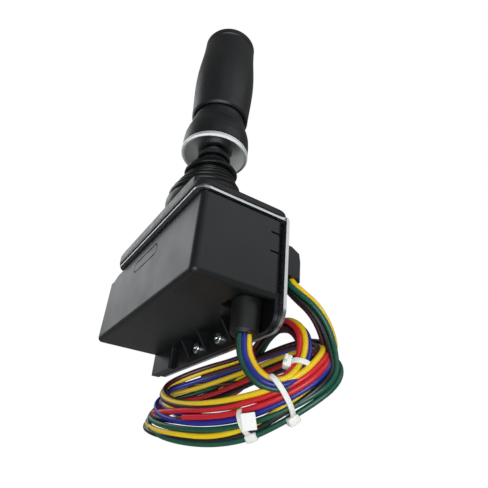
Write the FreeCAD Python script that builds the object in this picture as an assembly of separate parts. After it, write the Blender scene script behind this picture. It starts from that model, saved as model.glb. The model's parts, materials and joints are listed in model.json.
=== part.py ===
import FreeCAD, Part
import math
import os

# Single-axis industrial lever joystick for panel mounting, in millimetres.
# Origin: lever axis at rest, on the top face of the bracket plate, centre of the four panel screws.
# +Z runs up the lever, +Y along the housing away from the cable gland, +X towards the side flange.

Vec = FreeCAD.Vector

# Fits and clearances
RUN_FIT = 0.04
SLIDE_FIT = 0.06
BODY_GAP = 0.35
SEAT_GAP = 0.2

# Sheet steel bracket
SHEET = 1.6
PLATE_MARGIN = 2.5
PLATE_NEAR = 43.0
PLATE_FAR = 63.0
PLATE_CORNER = 6.0
BEND_INSIDE = 1.4
FLANGE_NEAR = 44.0
FLANGE_FAR = 84.0
FLANGE_CORNER = 9.0
OPENING_X = 18.4
OPENING_MARGIN = 1.4
OPENING_CORNER = 4.0

# Panel screws, M4 clinch nuts under the plate
BOLT_SPACING_X = 28.0
BOLT_SPACING_Y = 70.0
BOLT_R = 2.0
CLINCH_SHANK_R = 3.0
CLINCH_HEAD_R = 4.2
CLINCH_HEAD_H = 2.6
RIM_HOLE_R = 2.7

# Moulded housing
HOUSING_NEAR = 42.0
HOUSING_FAR = 82.0
HOUSING_DEPTH = 39.0
HOUSING_WALL = 2.2
HOUSING_CORNER = 3.0
HOUSING_EDGE = 2.6
HOUSING_GAP = 0.3
ROOF_START = 64.5
ROOF_END = 74.0
ROOF_DROP = 2.8
RABBET_DEPTH = 0.7
RABBET_HEIGHT = 0.9
PILL_START = 4.2
PILL_LENGTH = 32.0
PILL_HEIGHT = 6.4
PILL_BELOW_TOP = 5.6
PILL_GROOVE = 0.7
PILL_DEPTH = 0.5
SLIT_W = 5.0
SLIT_H = 0.9
SLIT_SIDE = 1.6
SLIT_BELOW_TOP = 7.2
SLIT_PITCH = 9.6
POCKET_X = 14.6
POCKET_Y = 19.0
POCKET_DEPTH = 2.6
POCKET_CORNER = 2.0

# Moulded skirt of the housing that covers the side flange below the box
SKIRT_DROP = 12.7
SKIRT_MARGIN = 0.6
SKIRT_T = 2.0
SKIRT_GUSSET_REACH = 6.4
SKIRT_GUSSET_T = 1.5
SKIRT_GUSSETS_Y = (-8.0, 16.5, 35.5)
FOOT_START = 56.0
FOOT_REACH = 5.2
SKIRT_SCREWS_Y = (4.0, 27.0)
SKIRT_SCREW_BELOW = 6.2
SMALL_SCREW_HEAD_R = 2.9
SMALL_SCREW_HEAD_H = 1.9
SCREW_PILOT_R = 1.5

# Housing screws from the plate into the housing's corner posts
HOUSING_SCREW_INSET = 5.5
HOUSING_SCREW_NEAR = 26.0
HOUSING_SCREW_FAR = 54.0
HOUSING_SCREW_L = 9.0
POST_R = 3.4
POST_H = 12.0

# Cable gland
GLAND_SIDE_GAP = 0.3
GLAND_Y = -29.5
GLAND_R = 6.5
GLAND_RIM_R = 6.7
GLAND_RIM_H = 1.2
GLAND_LENGTH = 17.0
GLAND_NECK_R = 4.9
GLAND_INSERT = 4.0
GLAND_COLLAR = 1.0
GLAND_COLLAR_H = 1.2
GLAND_LIP_R = 6.2
GLAND_LIP_H = 1.4

# Strain relief on the outside of the flange
RELIEF_Y = -35.5
RELIEF_ACROSS = 13.0
RELIEF_REACH = 10.7
RELIEF_TOP = -13.0
RELIEF_HEIGHT = 14.6
RELIEF_CHAMFER = 3.2
RELIEF_SPIGOT_R = 4.0
RELIEF_INSERT = 6.0

# Rubber gaiter
RIM_MARGIN = 0.6
RIM_SIDE_MARGIN = 1.3
RIM_TOP = 3.6
RIM_SIDE_LIP = 4.6
RIM_EDGE = 1.9
RIM_BORE_R = 19.0
BELLOWS_WALL = 1.1
BELLOWS_BASE_R = 20.6
BELLOWS_NECK_R = 8.3
BELLOWS_RISE = 46.6
BELLOWS_NECK_L = 5.0
BELLOWS_NECK_STEP = 1.2
BELLOWS_FOLDS = ((20.6, 0.12), (15.8, 0.24), (20.4, 0.37), (14.6, 0.47), (17.0, 0.56), (12.2, 0.64),
                 (13.4, 0.76), (12.6, 0.84))

# Lever and pivot
PIVOT_BELOW = 14.0
PIN_R = 3.0
PIN_OUT = 16.6
PIN_IN = 3.4
HUB_R = 9.0
HUB_HALF = 7.0
HUB_SLEEVE_R = 5.0
HUB_NECK_R = 8.0
HUB_TOP = -1.0
TUBE_R = 5.0
TUBE_BORE_R = 3.0
TUBE_BOTTOM = -9.6
TUBE_BELOW_GRIP_TOP = 4.0
LEVER_TILT = 20.0

# Pivot frame under the plate
CHEEK_RIGHT_SPACE = 2.4
CHEEK_SIDE_GAP = 0.95
CHEEK_T = 2.0
CHEEK_HALF_Y = 11.5
CHEEK_DROP = 29.5
WEB_HALF_Y = 21.0
FRAME_SCREW_X = 7.0
FRAME_SCREW_Y = 18.0
FRAME_SCREW_L = 6.0
BUSH_R = 4.0
BUSH_FLANGE_R = 5.6
BUSH_FLANGE_T = 1.0

# Return spring on the hub sleeve, with the hub paddle and frame tongue between its legs
SPRING_WIRE_R = 0.7
SPRING_COIL_R = 6.4
SPRING_TURNS = 3
SPRING_LEG = 13.4
SPRING_PITCH = 1.45
SPRING_SIDE_GAP = 1.175
PADDLE_IN = 7.9
PADDLE_T = 1.4
TONGUE_IN = 11.3
TONGUE_T = 1.6

# Neutral lock: ring, skirt, rod and cross pin
LOCK_TRAVEL = 4.0
RING_R = 19.0
RING_REST_GAP = 0.1
RING_H = 3.5
RING_EDGE_BEVEL = 0.9
RING_DISH_R = 17.2
RING_DISH_DEPTH = 2.1
SKIRT_SPIGOT_R = 7.4
SKIRT_FLARE_R = 18.9
SKIRT_TOP_R = 16.0
SKIRT_H = 19.7
SKIRT_BELL = ((18.9, 5.2), (18.5, 9.6), (17.6, 13.2), (16.4, 16.2))
SKIRT_SLEEVE_R = 15.0
SKIRT_SLEEVE_L = 13.4
SKIRT_WALL = 1.8
SKIRT_WEB_T = 5.2
CROSS_PIN_R = 1.5
CROSS_PIN_HALF = 7.2
ROD_R = 2.4
ROD_TIP_BELOW = 12.4
ROD_TIP_SHARE = 0.7
GATE_INNER = 12.9
GATE_T = 2.0
GATE_REACH = 17.0
GATE_NOTCH_R = 2.9
NECK_COLLAR_R = 9.4
NECK_COLLAR_H = 3.8

# Grip
GRIP_L = 62.8
GRIP_EDGE = 0.8
GRIP_OUTLINE = ((16.8, 1.2), (17.4, 12.8), (18.1, 27.8), (17.7, 41.8), (16.7, 54.0), (16.3, 62.2))
SLEEVE_BORE = 15.4
CORE_R = 13.8
CORE_BELOW_GRIP_TOP = 2.6
CORE_POCKET_R = 9.5
CORE_POCKET_DEPTH = 16.0
CAP_R = 16.2
CAP_SHOULDER_H = 5.6
CAP_H = 8.2
CAP_EDGE = 1.4
CAP_FLAT_R = 8.6
CAP_WALL = 2.0
CAP_SPIGOT_R = 9.2
CAP_SPIGOT = 5.0
NUT_ACROSS = 13.0
NUT_H = 5.0
LOCK_SPRING_R = 7.6
LOCK_SPRING_WIRE = 0.8
LOCK_SPRING_TURNS = 6

# Angle sensor and electronics
SENSOR_R = 8.5
SENSOR_T = 4.6
BOARD_START = 20.0
BOARD_L = 52.0
BOARD_SIDE_GAP = 2.3
BOARD_T = 1.6
BOARD_RISE = 8.0
BOARD_POST_R = 2.6
BOARD_SCREW_INSET = 3.6
CAPACITOR_R = 4.0
CAPACITOR_H = 11.0
CHIP = (10.0, 10.0, 1.6)
DRIVER = (8.0, 5.0, 1.8)
HEADER = (14.0, 5.0, 8.0)

# Wires: leads of several wires each and the coil that they lie in
LEAD_R = 2.8
SIDE_LEAD_R = 2.7
COIL_R = 6.0
COIL_CENTRE = (25.3, -9.4, -72.5)
COIL_LONG = (0.393, -0.893, 0.217)
COIL_SHORT = (0.643, 0.436, 0.629)
COIL_HALF_L = 43.5
COIL_HALF_W = 21.5
TIE_T = 1.1
TIE_W = 3.6
TIE_HEAD = 5.0
TIE_GAP = 0.05
LOWER_TIE_ALONG = 19.7
FLAG_TIE_ALONG = 9.7
LOOP_TIE_SHARE = 0.7
FLAG_W = 7.6
FLAG_L = 11.0
FLAG_T = 0.6

# Places worked out from the sizes above
HUB_SLEEVE_L = SPRING_PITCH * (SPRING_TURNS + 0.5) + 2 * SPRING_WIRE_R + SPRING_SIDE_GAP
CHEEK_LEFT = HUB_HALF + HUB_SLEEVE_L + BUSH_FLANGE_T + SEAT_GAP
CHEEK_RIGHT = HUB_HALF + BUSH_FLANGE_T + CHEEK_RIGHT_SPACE
HOUSING_W = 2 * (CHEEK_LEFT + CHEEK_T + CHEEK_SIDE_GAP + HOUSING_WALL)
PLATE_LEFT = HOUSING_W / 2 + PLATE_MARGIN
HOUSING_SCREW_X = HOUSING_W / 2 - HOUSING_SCREW_INSET
GLAND_X = HOUSING_W / 2 - SKIRT_T - GLAND_R - GLAND_SIDE_GAP
BOARD_W = HOUSING_W - 2 * (HOUSING_WALL + BOARD_SIDE_GAP)
PLATE_BOTTOM = -SHEET
FLANGE_IN = HOUSING_W / 2 + SEAT_GAP
FLANGE_OUT = FLANGE_IN + SHEET
HOUSING_TOP = PLATE_BOTTOM - HOUSING_GAP
HOUSING_BOTTOM = HOUSING_TOP - HOUSING_DEPTH
SKIRT_BOTTOM = HOUSING_BOTTOM - SKIRT_DROP + SKIRT_MARGIN
FLANGE_DROP = SKIRT_DROP - HOUSING_BOTTOM
POCKET_CEILING = HOUSING_BOTTOM + POCKET_DEPTH
PIVOT_Z = -PIVOT_BELOW
BOARD_BOTTOM = HOUSING_BOTTOM + HOUSING_WALL + BOARD_RISE
HUB_SLEEVE_END = -HUB_HALF - HUB_SLEEVE_L
TILT = math.radians(LEVER_TILT)
OPENING_HALF_Y = PIVOT_BELOW * math.tan(TILT) + HUB_NECK_R / math.cos(TILT) + OPENING_MARGIN
GATE_HALF_Y = GATE_INNER * math.sin(TILT) + ROD_R
BELLOWS_START = RIM_TOP + SEAT_GAP + 0.1
BELLOWS_TOP = BELLOWS_START + BELLOWS_RISE
BELLOWS_SHOULDER = BELLOWS_TOP - BELLOWS_NECK_L
RING_EDGE_BOTTOM = BELLOWS_TOP + NECK_COLLAR_H + RING_REST_GAP
RING_EDGE_TOP = RING_EDGE_BOTTOM + RING_H
RING_DISH_TOP = RING_EDGE_BOTTOM + RING_DISH_DEPTH
CROSS_PIN_Z = RING_EDGE_TOP + SKIRT_WEB_T / 2
SKIRT_WEB_TOP = RING_EDGE_TOP + SKIRT_WEB_T
SKIRT_TOP = RING_EDGE_TOP + SKIRT_H
SKIRT_SLEEVE_TOP = SKIRT_TOP + SKIRT_SLEEVE_L
GRIP_BOTTOM = SKIRT_TOP + LOCK_TRAVEL + 2 * BODY_GAP
GRIP_TOP = GRIP_BOTTOM + GRIP_L
CORE_BOTTOM = SKIRT_SLEEVE_TOP + LOCK_TRAVEL + 2 * BODY_GAP
CORE_TOP = GRIP_TOP - CORE_BELOW_GRIP_TOP
CORE_POCKET_FLOOR = GRIP_TOP - CORE_POCKET_DEPTH
TUBE_TOP = GRIP_TOP - TUBE_BELOW_GRIP_TOP
CAP_SHOULDER = GRIP_TOP + CAP_SHOULDER_H
CAP_CROWN = GRIP_TOP + CAP_H


def vec(x, y, z):
    return Vec(x, y, z)


def box(x0, x1, y0, y1, z0, z1):
    return Part.makeBox(x1 - x0, y1 - y0, z1 - z0, vec(x0, y0, z0))


def rod(base, direction, radius, length):
    return Part.makeCylinder(radius, length, vec(*base), vec(*direction))


def ring(base, direction, outer, inner, length):
    return rod(base, direction, outer, length).cut(rod(base, direction, inner, length))


def turned(profile, centre=(0, 0)):
    """Solid of revolution about the vertical through centre; the profile is (radius, z) points."""
    points = [vec(centre[0] + r, centre[1], z) for r, z in profile]
    face = Part.Face(Part.makePolygon(points + points[:1]))
    return face.revolve(vec(centre[0], centre[1], 0), vec(0, 0, 1), 360)


def rounded_plate(x0, x1, y0, y1, z0, z1, radius):
    slab = box(x0, x1, y0, y1, z0, z1)
    return slab.makeFillet(radius, [e for e in slab.Edges if is_upright(e)])


def is_upright(edge):
    a, b = edge.Vertexes[0].Point, edge.Vertexes[-1].Point
    return abs(a.x - b.x) < 1e-6 and abs(a.y - b.y) < 1e-6


def is_level(edge, z):
    return all(abs(v.Point.z - z) < 1e-6 for v in edge.Vertexes)


def without(shape, tools):
    return shape.cut(tools)


def save(name, shape):
    shape.exportStep(os.path.join("parts", name + ".step"))


def four(x, y):
    return [(sx * x, sy * y) for sx in (-1, 1) for sy in (-1, 1)]


def bolt_places():
    return four(BOLT_SPACING_X / 2, BOLT_SPACING_Y / 2)


def frame_screw_places():
    return four(FRAME_SCREW_X, FRAME_SCREW_Y)


def housing_screw_places():
    near = [(sx * HOUSING_SCREW_X, -HOUSING_SCREW_NEAR) for sx in (-1, 1)]
    far = [(sx * HOUSING_SCREW_X, HOUSING_SCREW_FAR) for sx in (-1, 1)]
    return near + far


# Bracket and its fixings

def mounting_bracket():
    """Bent sheet: plate with rounded free corners, inside-radius bend, flange with rounded lower corners."""
    plate = box(-PLATE_LEFT, FLANGE_OUT, -PLATE_NEAR, PLATE_FAR, PLATE_BOTTOM, 0)
    free = [e for e in plate.Edges if is_upright(e) and e.Vertexes[0].Point.x < 0]
    plate = plate.makeFillet(PLATE_CORNER, free)
    flange = box(FLANGE_IN, FLANGE_OUT, -FLANGE_NEAR, FLANGE_FAR, -FLANGE_DROP, 0)
    lower = [e for e in flange.Edges if is_level(e, -FLANGE_DROP) and abs(e.Vertexes[0].Point.y - e.Vertexes[-1].Point.y) < 1e-6]
    flange = flange.makeFillet(FLANGE_CORNER, lower)
    relief = box(FLANGE_IN - SHEET, FLANGE_OUT + SHEET, PLATE_FAR, FLANGE_FAR + SHEET, HOUSING_TOP - ROOF_DROP, SHEET)
    flange = flange.cut(relief)
    bracket = plate.fuse(flange).removeSplitter()
    bend = [e for e in bracket.Edges if is_level(e, 0) and all(abs(v.Point.x - FLANGE_OUT) < 1e-6 for v in e.Vertexes)]
    bracket = bracket.makeFillet(BEND_INSIDE + SHEET / 2, bend)
    cuts = [rounded_plate(-OPENING_X / 2, OPENING_X / 2, -OPENING_HALF_Y, OPENING_HALF_Y, -2 * SHEET, SHEET, OPENING_CORNER)]
    cuts += [rod((x, y, -2 * SHEET), (0, 0, 1), CLINCH_SHANK_R, 3 * SHEET) for x, y in bolt_places()]
    small = frame_screw_places() + housing_screw_places()
    cuts += [rod((x, y, -2 * SHEET), (0, 0, 1), SCREW_PILOT_R + BODY_GAP, 3 * SHEET) for x, y in small]
    cuts.append(rod((FLANGE_IN - SHEET, RELIEF_Y, relief_centre_z()), (1, 0, 0), RELIEF_SPIGOT_R, 3 * SHEET))
    cuts += [rod((FLANGE_IN - SHEET, y, skirt_screw_z()), (1, 0, 0), SCREW_PILOT_R, 3 * SHEET) for y in SKIRT_SCREWS_Y]
    return without(bracket, cuts)


def clinch_nuts():
    nuts = []
    for x, y in bolt_places():
        head = rod((x, y, PLATE_BOTTOM - CLINCH_HEAD_H), (0, 0, 1), CLINCH_HEAD_R, CLINCH_HEAD_H)
        shank = rod((x, y, PLATE_BOTTOM), (0, 0, 1), CLINCH_SHANK_R, SHEET)
        bore = rod((x, y, PLATE_BOTTOM - CLINCH_HEAD_H), (0, 0, 1), BOLT_R, CLINCH_HEAD_H + SHEET)
        nuts.append(head.fuse(shank).removeSplitter().cut(bore))
    return Part.makeCompound(nuts)


def top_screws(places, length):
    """Pan-head screws that stand on the plate's top face, heads inside the gaiter rim."""
    screws = []
    for x, y in places:
        head = rod((x, y, 0), (0, 0, 1), SMALL_SCREW_HEAD_R, SMALL_SCREW_HEAD_H)
        head = head.makeFillet(0.5, [e for e in head.Edges if is_level(e, SMALL_SCREW_HEAD_H)])
        slot = hex_prism((x, y, SMALL_SCREW_HEAD_H - 1.1), (0, 0, 1), 2.0, 1.2)
        shank = rod((x, y, -length), (0, 0, 1), SCREW_PILOT_R, length)
        screws.append(head.cut(slot).fuse(shank).removeSplitter())
    return Part.makeCompound(screws)


def hex_prism(base, direction, across_flats, length):
    """Hexagonal prism from base along a row axis."""
    corner = across_flats / math.sqrt(3)
    axis = vec(*direction)
    side = vec(0, 1, 0) if abs(axis.y) < 0.5 else vec(1, 0, 0)
    other = axis.cross(side)
    points = []
    for k in range(6):
        a = math.radians(60 * k)
        points.append(vec(*base) + side * (corner * math.cos(a)) + other * (corner * math.sin(a)))
    face = Part.Face(Part.makePolygon(points + points[:1]))
    return face.extrude(axis * length)


# Housing

def housing():
    shell = housing_shell()
    shell = shell.fuse(flange_skirt() + housing_posts() + board_posts()).removeSplitter()
    cuts = [rod((x, y, HOUSING_TOP - POST_H), (0, 0, 1), SCREW_PILOT_R, POST_H + 1) for x, y in housing_screw_places()]
    cuts += [rod((x, y, BOARD_BOTTOM - BOARD_RISE), (0, 0, 1), SCREW_PILOT_R - BODY_GAP, BOARD_RISE + 1) for x, y in board_places()]
    cuts.append(rod((GLAND_X, GLAND_Y, POCKET_CEILING - 1), (0, 0, 1), GLAND_NECK_R, HOUSING_WALL + 2))
    cuts += [rod((FLANGE_IN - 2 * SKIRT_T, y, skirt_screw_z()), (1, 0, 0), SCREW_PILOT_R, 3 * SKIRT_T) for y in SKIRT_SCREWS_Y]
    cuts += latch_slits()
    return without(shell.cut(pill_groove()), cuts)


def side_profile(inset):
    """Housing outline seen from the side, drawn inwards by inset, as (y, z) points."""
    near, far = -HOUSING_NEAR + inset, HOUSING_FAR - inset
    top = HOUSING_TOP - inset
    return [(near, HOUSING_BOTTOM + inset), (far, HOUSING_BOTTOM + inset), (far, top - ROOF_DROP),
            (ROOF_END, top - ROOF_DROP), (ROOF_START, top), (near, top)]


def prism_across(points, x0, x1):
    line = [vec(x0, y, z) for y, z in points]
    return Part.Face(Part.makePolygon(line + line[:1])).extrude(vec(x1 - x0, 0, 0))


def housing_shell():
    half = HOUSING_W / 2
    outer = prism_across(side_profile(0), -half, half)
    corners = [e for e in outer.Edges if is_upright(e)]
    outer = outer.makeFillet(HOUSING_CORNER, corners)
    bottom = [e for e in outer.Edges if is_level(e, HOUSING_BOTTOM)]
    outer = outer.makeFillet(HOUSING_EDGE, bottom)
    inner = prism_across(side_profile(HOUSING_WALL), -half + HOUSING_WALL, half - HOUSING_WALL)
    mouth = box(-half + HOUSING_WALL, half - HOUSING_WALL, -HOUSING_NEAR + HOUSING_WALL, PLATE_FAR - HOUSING_WALL,
                HOUSING_TOP - 2 * HOUSING_WALL, HOUSING_TOP + 1)
    py, w = POCKET_Y / 2, HOUSING_WALL
    right = half - SKIRT_T
    pocket = rounded_plate(right - POCKET_X, right, GLAND_Y - py, GLAND_Y + py, HOUSING_BOTTOM - 1, POCKET_CEILING, POCKET_CORNER)
    ceiling = box(right - POCKET_X - w, half - w / 2, GLAND_Y - py - w, GLAND_Y + py + w, HOUSING_BOTTOM + w / 2, POCKET_CEILING + w)
    rim = box(-half - 1, half + 1, -HOUSING_NEAR - 1, HOUSING_FAR + 1, HOUSING_TOP - RABBET_HEIGHT, HOUSING_TOP + 1)
    keep = rounded_plate(-half + RABBET_DEPTH, half - RABBET_DEPTH, -HOUSING_NEAR + RABBET_DEPTH,
                         HOUSING_FAR, HOUSING_TOP - 2 * RABBET_HEIGHT, HOUSING_TOP + 2, HOUSING_CORNER - RABBET_DEPTH)
    shell = outer.cut([inner, mouth]).fuse(ceiling.common(outer))
    return shell.cut([pocket, rim.cut(keep)])


def pill_groove():
    """Shallow groove that outlines the knock-out in the left wall."""
    top = HOUSING_TOP - PILL_BELOW_TOP
    x0 = -HOUSING_W / 2 - 1
    outer = pill_prism(x0, PILL_DEPTH + 1, PILL_START, top, PILL_LENGTH, PILL_HEIGHT)
    g = PILL_GROOVE
    return outer.cut(pill_prism(x0 - 1, PILL_DEPTH + 3, PILL_START + g, top - g, PILL_LENGTH - 2 * g, PILL_HEIGHT - 2 * g))


def pill_prism(x0, depth, start, top, length, height):
    slab = box(x0, x0 + depth, start, start + length, top - height, top)
    ends = [e for e in slab.Edges if abs(e.Vertexes[0].Point.x - e.Vertexes[-1].Point.x) > depth / 2]
    return slab.makeFillet(height / 2 - 0.01, ends)


def latch_slits():
    x1 = HOUSING_W / 2 - SLIT_SIDE
    top = HOUSING_TOP - SLIT_BELOW_TOP
    y0, y1 = -HOUSING_NEAR - 1, -HOUSING_NEAR + HOUSING_WALL + 1
    slits = [box(x1 - SLIT_W, x1, y0, y1, top - k * SLIT_PITCH - SLIT_H, top - k * SLIT_PITCH) for k in range(2)]
    hinge = box(x1 - SLIT_H, x1 - SLIT_H / 3, y0, -HOUSING_NEAR + SLIT_H / 3, top - SLIT_PITCH + SLIT_H, top - 2 * SLIT_H)
    return slits + [hinge]


def skirt_screw_z():
    return HOUSING_BOTTOM - SKIRT_SCREW_BELOW


def flange_skirt():
    """Wall that lines the flange below the box, with slanted gussets and a thick foot at the far end."""
    x1 = HOUSING_W / 2
    x0 = x1 - SKIRT_T
    wall = box(x0, x1, -HOUSING_NEAR + 1, HOUSING_FAR, SKIRT_BOTTOM, HOUSING_BOTTOM + HOUSING_EDGE + 1)
    lower = [e for e in wall.Edges if is_level(e, SKIRT_BOTTOM) and abs(e.Vertexes[0].Point.y - e.Vertexes[-1].Point.y) < 1e-6]
    wall = wall.makeFillet(FLANGE_CORNER - 1, lower)
    foot = box(x1 - FOOT_REACH, x1, FOOT_START, HOUSING_FAR, SKIRT_BOTTOM, HOUSING_BOTTOM + HOUSING_EDGE + 1)
    foot = foot.makeFillet(1.2, [e for e in foot.Edges if is_upright(e) and e.Vertexes[0].Point.x < x0])
    pieces = [wall, foot]
    for y in SKIRT_GUSSETS_Y:
        line = [vec(x0 - SKIRT_GUSSET_REACH, y, HOUSING_BOTTOM + 0.5), vec(x0 + 0.5, y, HOUSING_BOTTOM + 0.5),
                vec(x0 + 0.5, y, SKIRT_BOTTOM + 1), vec(x0 - SKIRT_GUSSET_REACH, y, HOUSING_BOTTOM - 1)]
        pieces.append(Part.Face(Part.makePolygon(line + line[:1])).extrude(vec(0, SKIRT_GUSSET_T, 0)))
    return pieces


def housing_posts():
    posts = []
    for x, y in housing_screw_places():
        post = rod((x, y, HOUSING_TOP - POST_H), (0, 0, 1), POST_R, POST_H)
        side = 1 if x > 0 else -1
        edge = side * (HOUSING_W / 2 - HOUSING_WALL / 2)
        rib = box(min(x, edge), max(x, edge), y - 1, y + 1, HOUSING_TOP - POST_H, HOUSING_TOP)
        posts.append(post.fuse(rib))
    return posts


def board_places():
    x = BOARD_W / 2 - BOARD_SCREW_INSET
    return [(sx * x, y) for sx in (-1, 1) for y in (BOARD_START + BOARD_SCREW_INSET, BOARD_START + BOARD_L - BOARD_SCREW_INSET)]


def board_posts():
    base = HOUSING_BOTTOM + HOUSING_WALL / 2
    return [rod((x, y, base), (0, 0, 1), BOARD_POST_R, BOARD_BOTTOM - base) for x, y in board_places()]


def skirt_screws():
    """Bright pan-head screws that hold the skirt to the flange, seen between the gussets."""
    x0 = HOUSING_W / 2 - SKIRT_T
    screws = []
    for y in SKIRT_SCREWS_Y:
        head = rod((x0 - SMALL_SCREW_HEAD_H, y, skirt_screw_z()), (1, 0, 0), SMALL_SCREW_HEAD_R, SMALL_SCREW_HEAD_H)
        rim = [e for e in head.Edges if all(abs(v.Point.x - x0 + SMALL_SCREW_HEAD_H) < 1e-6 for v in e.Vertexes)]
        head = head.makeFillet(0.8, rim)
        slots = [box(x0 - SMALL_SCREW_HEAD_H - 1, x0 - SMALL_SCREW_HEAD_H + 0.8, y - a, y + a, skirt_screw_z() - b, skirt_screw_z() + b)
                 for a, b in ((1.7, 0.35), (0.35, 1.7))]
        shank = rod((x0, y, skirt_screw_z()), (1, 0, 0), SCREW_PILOT_R, SKIRT_T + SEAT_GAP + SHEET)
        screws.append(head.cut(slots).fuse(shank))
    return Part.makeCompound(screws)


# Cable exits

def cable_gland():
    """Rubber grommet pushed into the bottom wall: neck, rim under the pocket ceiling, long sleeve with a lip."""
    top = POCKET_CEILING
    inside = top + HOUSING_WALL
    low = top - GLAND_LENGTH
    collar = inside + GLAND_COLLAR_H
    profile = [(LEAD_R, collar), (GLAND_NECK_R + GLAND_COLLAR, collar), (GLAND_NECK_R + GLAND_COLLAR, inside),
               (GLAND_NECK_R, inside), (GLAND_NECK_R, top), (GLAND_RIM_R, top), (GLAND_RIM_R, top - GLAND_RIM_H),
               (GLAND_R - 0.3, top - GLAND_RIM_H), (GLAND_R, top - GLAND_RIM_H - 0.6),
               (GLAND_LIP_R, low + GLAND_LIP_H), (GLAND_LIP_R - 0.7, low), (LEAD_R, low)]
    return turned(profile, (GLAND_X, GLAND_Y))


def relief_centre_z():
    return RELIEF_TOP - RELIEF_HEIGHT / 2


def side_strain_relief():
    """Six-sided clamp block with a sloped top; its spigot sits in the flange, the wires leave at its lower face."""
    y0, y1 = RELIEF_Y - RELIEF_ACROSS / 2, RELIEF_Y + RELIEF_ACROSS / 2
    x0, x1 = FLANGE_OUT, FLANGE_OUT + RELIEF_REACH
    c = RELIEF_CHAMFER
    low = RELIEF_TOP - RELIEF_HEIGHT
    outline = [vec(x0, y0, low), vec(x1 - c, y0, low), vec(x1, y0 + c, low), vec(x1, y1 - c, low),
               vec(x1 - c, y1, low), vec(x0, y1, low)]
    block = Part.Face(Part.makePolygon(outline + outline[:1])).extrude(vec(0, 0, RELIEF_HEIGHT))
    slope = prism_along_y([(x1 - RELIEF_REACH * 0.7, RELIEF_TOP), (x1 + 1, RELIEF_TOP), (x1 + 1, RELIEF_TOP - 4.6)], y0 - 1, y1 + 1)
    spigot = rod((FLANGE_IN, RELIEF_Y, relief_centre_z()), (1, 0, 0), RELIEF_SPIGOT_R, SHEET + 1)
    channel = rod((side_exit()[0], RELIEF_Y, low - 1), (0, 0, 1), SIDE_LEAD_R, RELIEF_INSERT + 1)
    return block.cut(slope).fuse(spigot).cut(channel)


def prism_along_y(points, y0, y1):
    line = [vec(x, y0, z) for x, z in points]
    return Part.Face(Part.makePolygon(line + line[:1])).extrude(vec(0, y1 - y0, 0))


def side_exit():
    return (FLANGE_OUT + RELIEF_REACH / 2 - 0.2, RELIEF_Y, RELIEF_TOP - RELIEF_HEIGHT)


# Gaiter

def gaiter_rim():
    """Thick frame of the gaiter that lies on the plate, with a thin lip that hooks over the bend."""
    x0, x1 = -PLATE_LEFT - RIM_MARGIN, FLANGE_OUT + RIM_SIDE_MARGIN
    y0, y1 = -PLATE_NEAR - RIM_MARGIN, PLATE_FAR + RIM_MARGIN
    block = rounded_plate(x0, x1, y0, y1, 0, RIM_TOP, PLATE_CORNER + RIM_MARGIN)
    block = block.makeFillet(RIM_EDGE, [e for e in block.Edges if is_level(e, RIM_TOP)])
    lip = box(FLANGE_OUT + BODY_GAP, x1, y0 + PLATE_CORNER + RIM_MARGIN, y1 - PLATE_CORNER - RIM_MARGIN, -RIM_SIDE_LIP, RIM_EDGE / 2)
    bore = rod((0, 0, -1), (0, 0, 1), RIM_BORE_R, RIM_TOP + 2)
    holes = [rod((x, y, -1), (0, 0, 1), RIM_HOLE_R, RIM_TOP + 2) for x, y in bolt_places()]
    recess = [rod((x, y, -1), (0, 0, 1), SMALL_SCREW_HEAD_R + BODY_GAP, 1 + SMALL_SCREW_HEAD_H + BODY_GAP)
              for x, y in housing_screw_places() + frame_screw_places()]
    return block.fuse(lip).removeSplitter().cut([bore] + holes + recess)


def bellows_profile():
    rise = BELLOWS_TOP - BELLOWS_START
    outer = [(BELLOWS_BASE_R, BELLOWS_START)] + [(r, BELLOWS_START + rise * share) for r, share in BELLOWS_FOLDS]
    outer += [(BELLOWS_NECK_R + BELLOWS_NECK_STEP, BELLOWS_SHOULDER),
              (BELLOWS_NECK_R, BELLOWS_SHOULDER + BELLOWS_NECK_STEP), (BELLOWS_NECK_R, BELLOWS_TOP)]
    inner = [(r - BELLOWS_WALL, z) for r, z in outer]
    return outer + inner[::-1]


def gaiter_bellows():
    return turned(bellows_profile())


def neck_collar():
    """Collar on the lever tube that the gaiter's neck is stretched over and the lock rests on."""
    top = BELLOWS_TOP + NECK_COLLAR_H
    low = BELLOWS_SHOULDER + 2 * BELLOWS_NECK_STEP
    neck = BELLOWS_NECK_R - BELLOWS_WALL
    seat = BELLOWS_TOP + BODY_GAP
    profile = [(TUBE_R, low), (neck, low), (neck, seat), (NECK_COLLAR_R, seat),
               (NECK_COLLAR_R, top - GRIP_EDGE), (NECK_COLLAR_R - GRIP_EDGE, top), (TUBE_R, top)]
    return turned(profile)


# Lever, pivot and return spring

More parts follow.
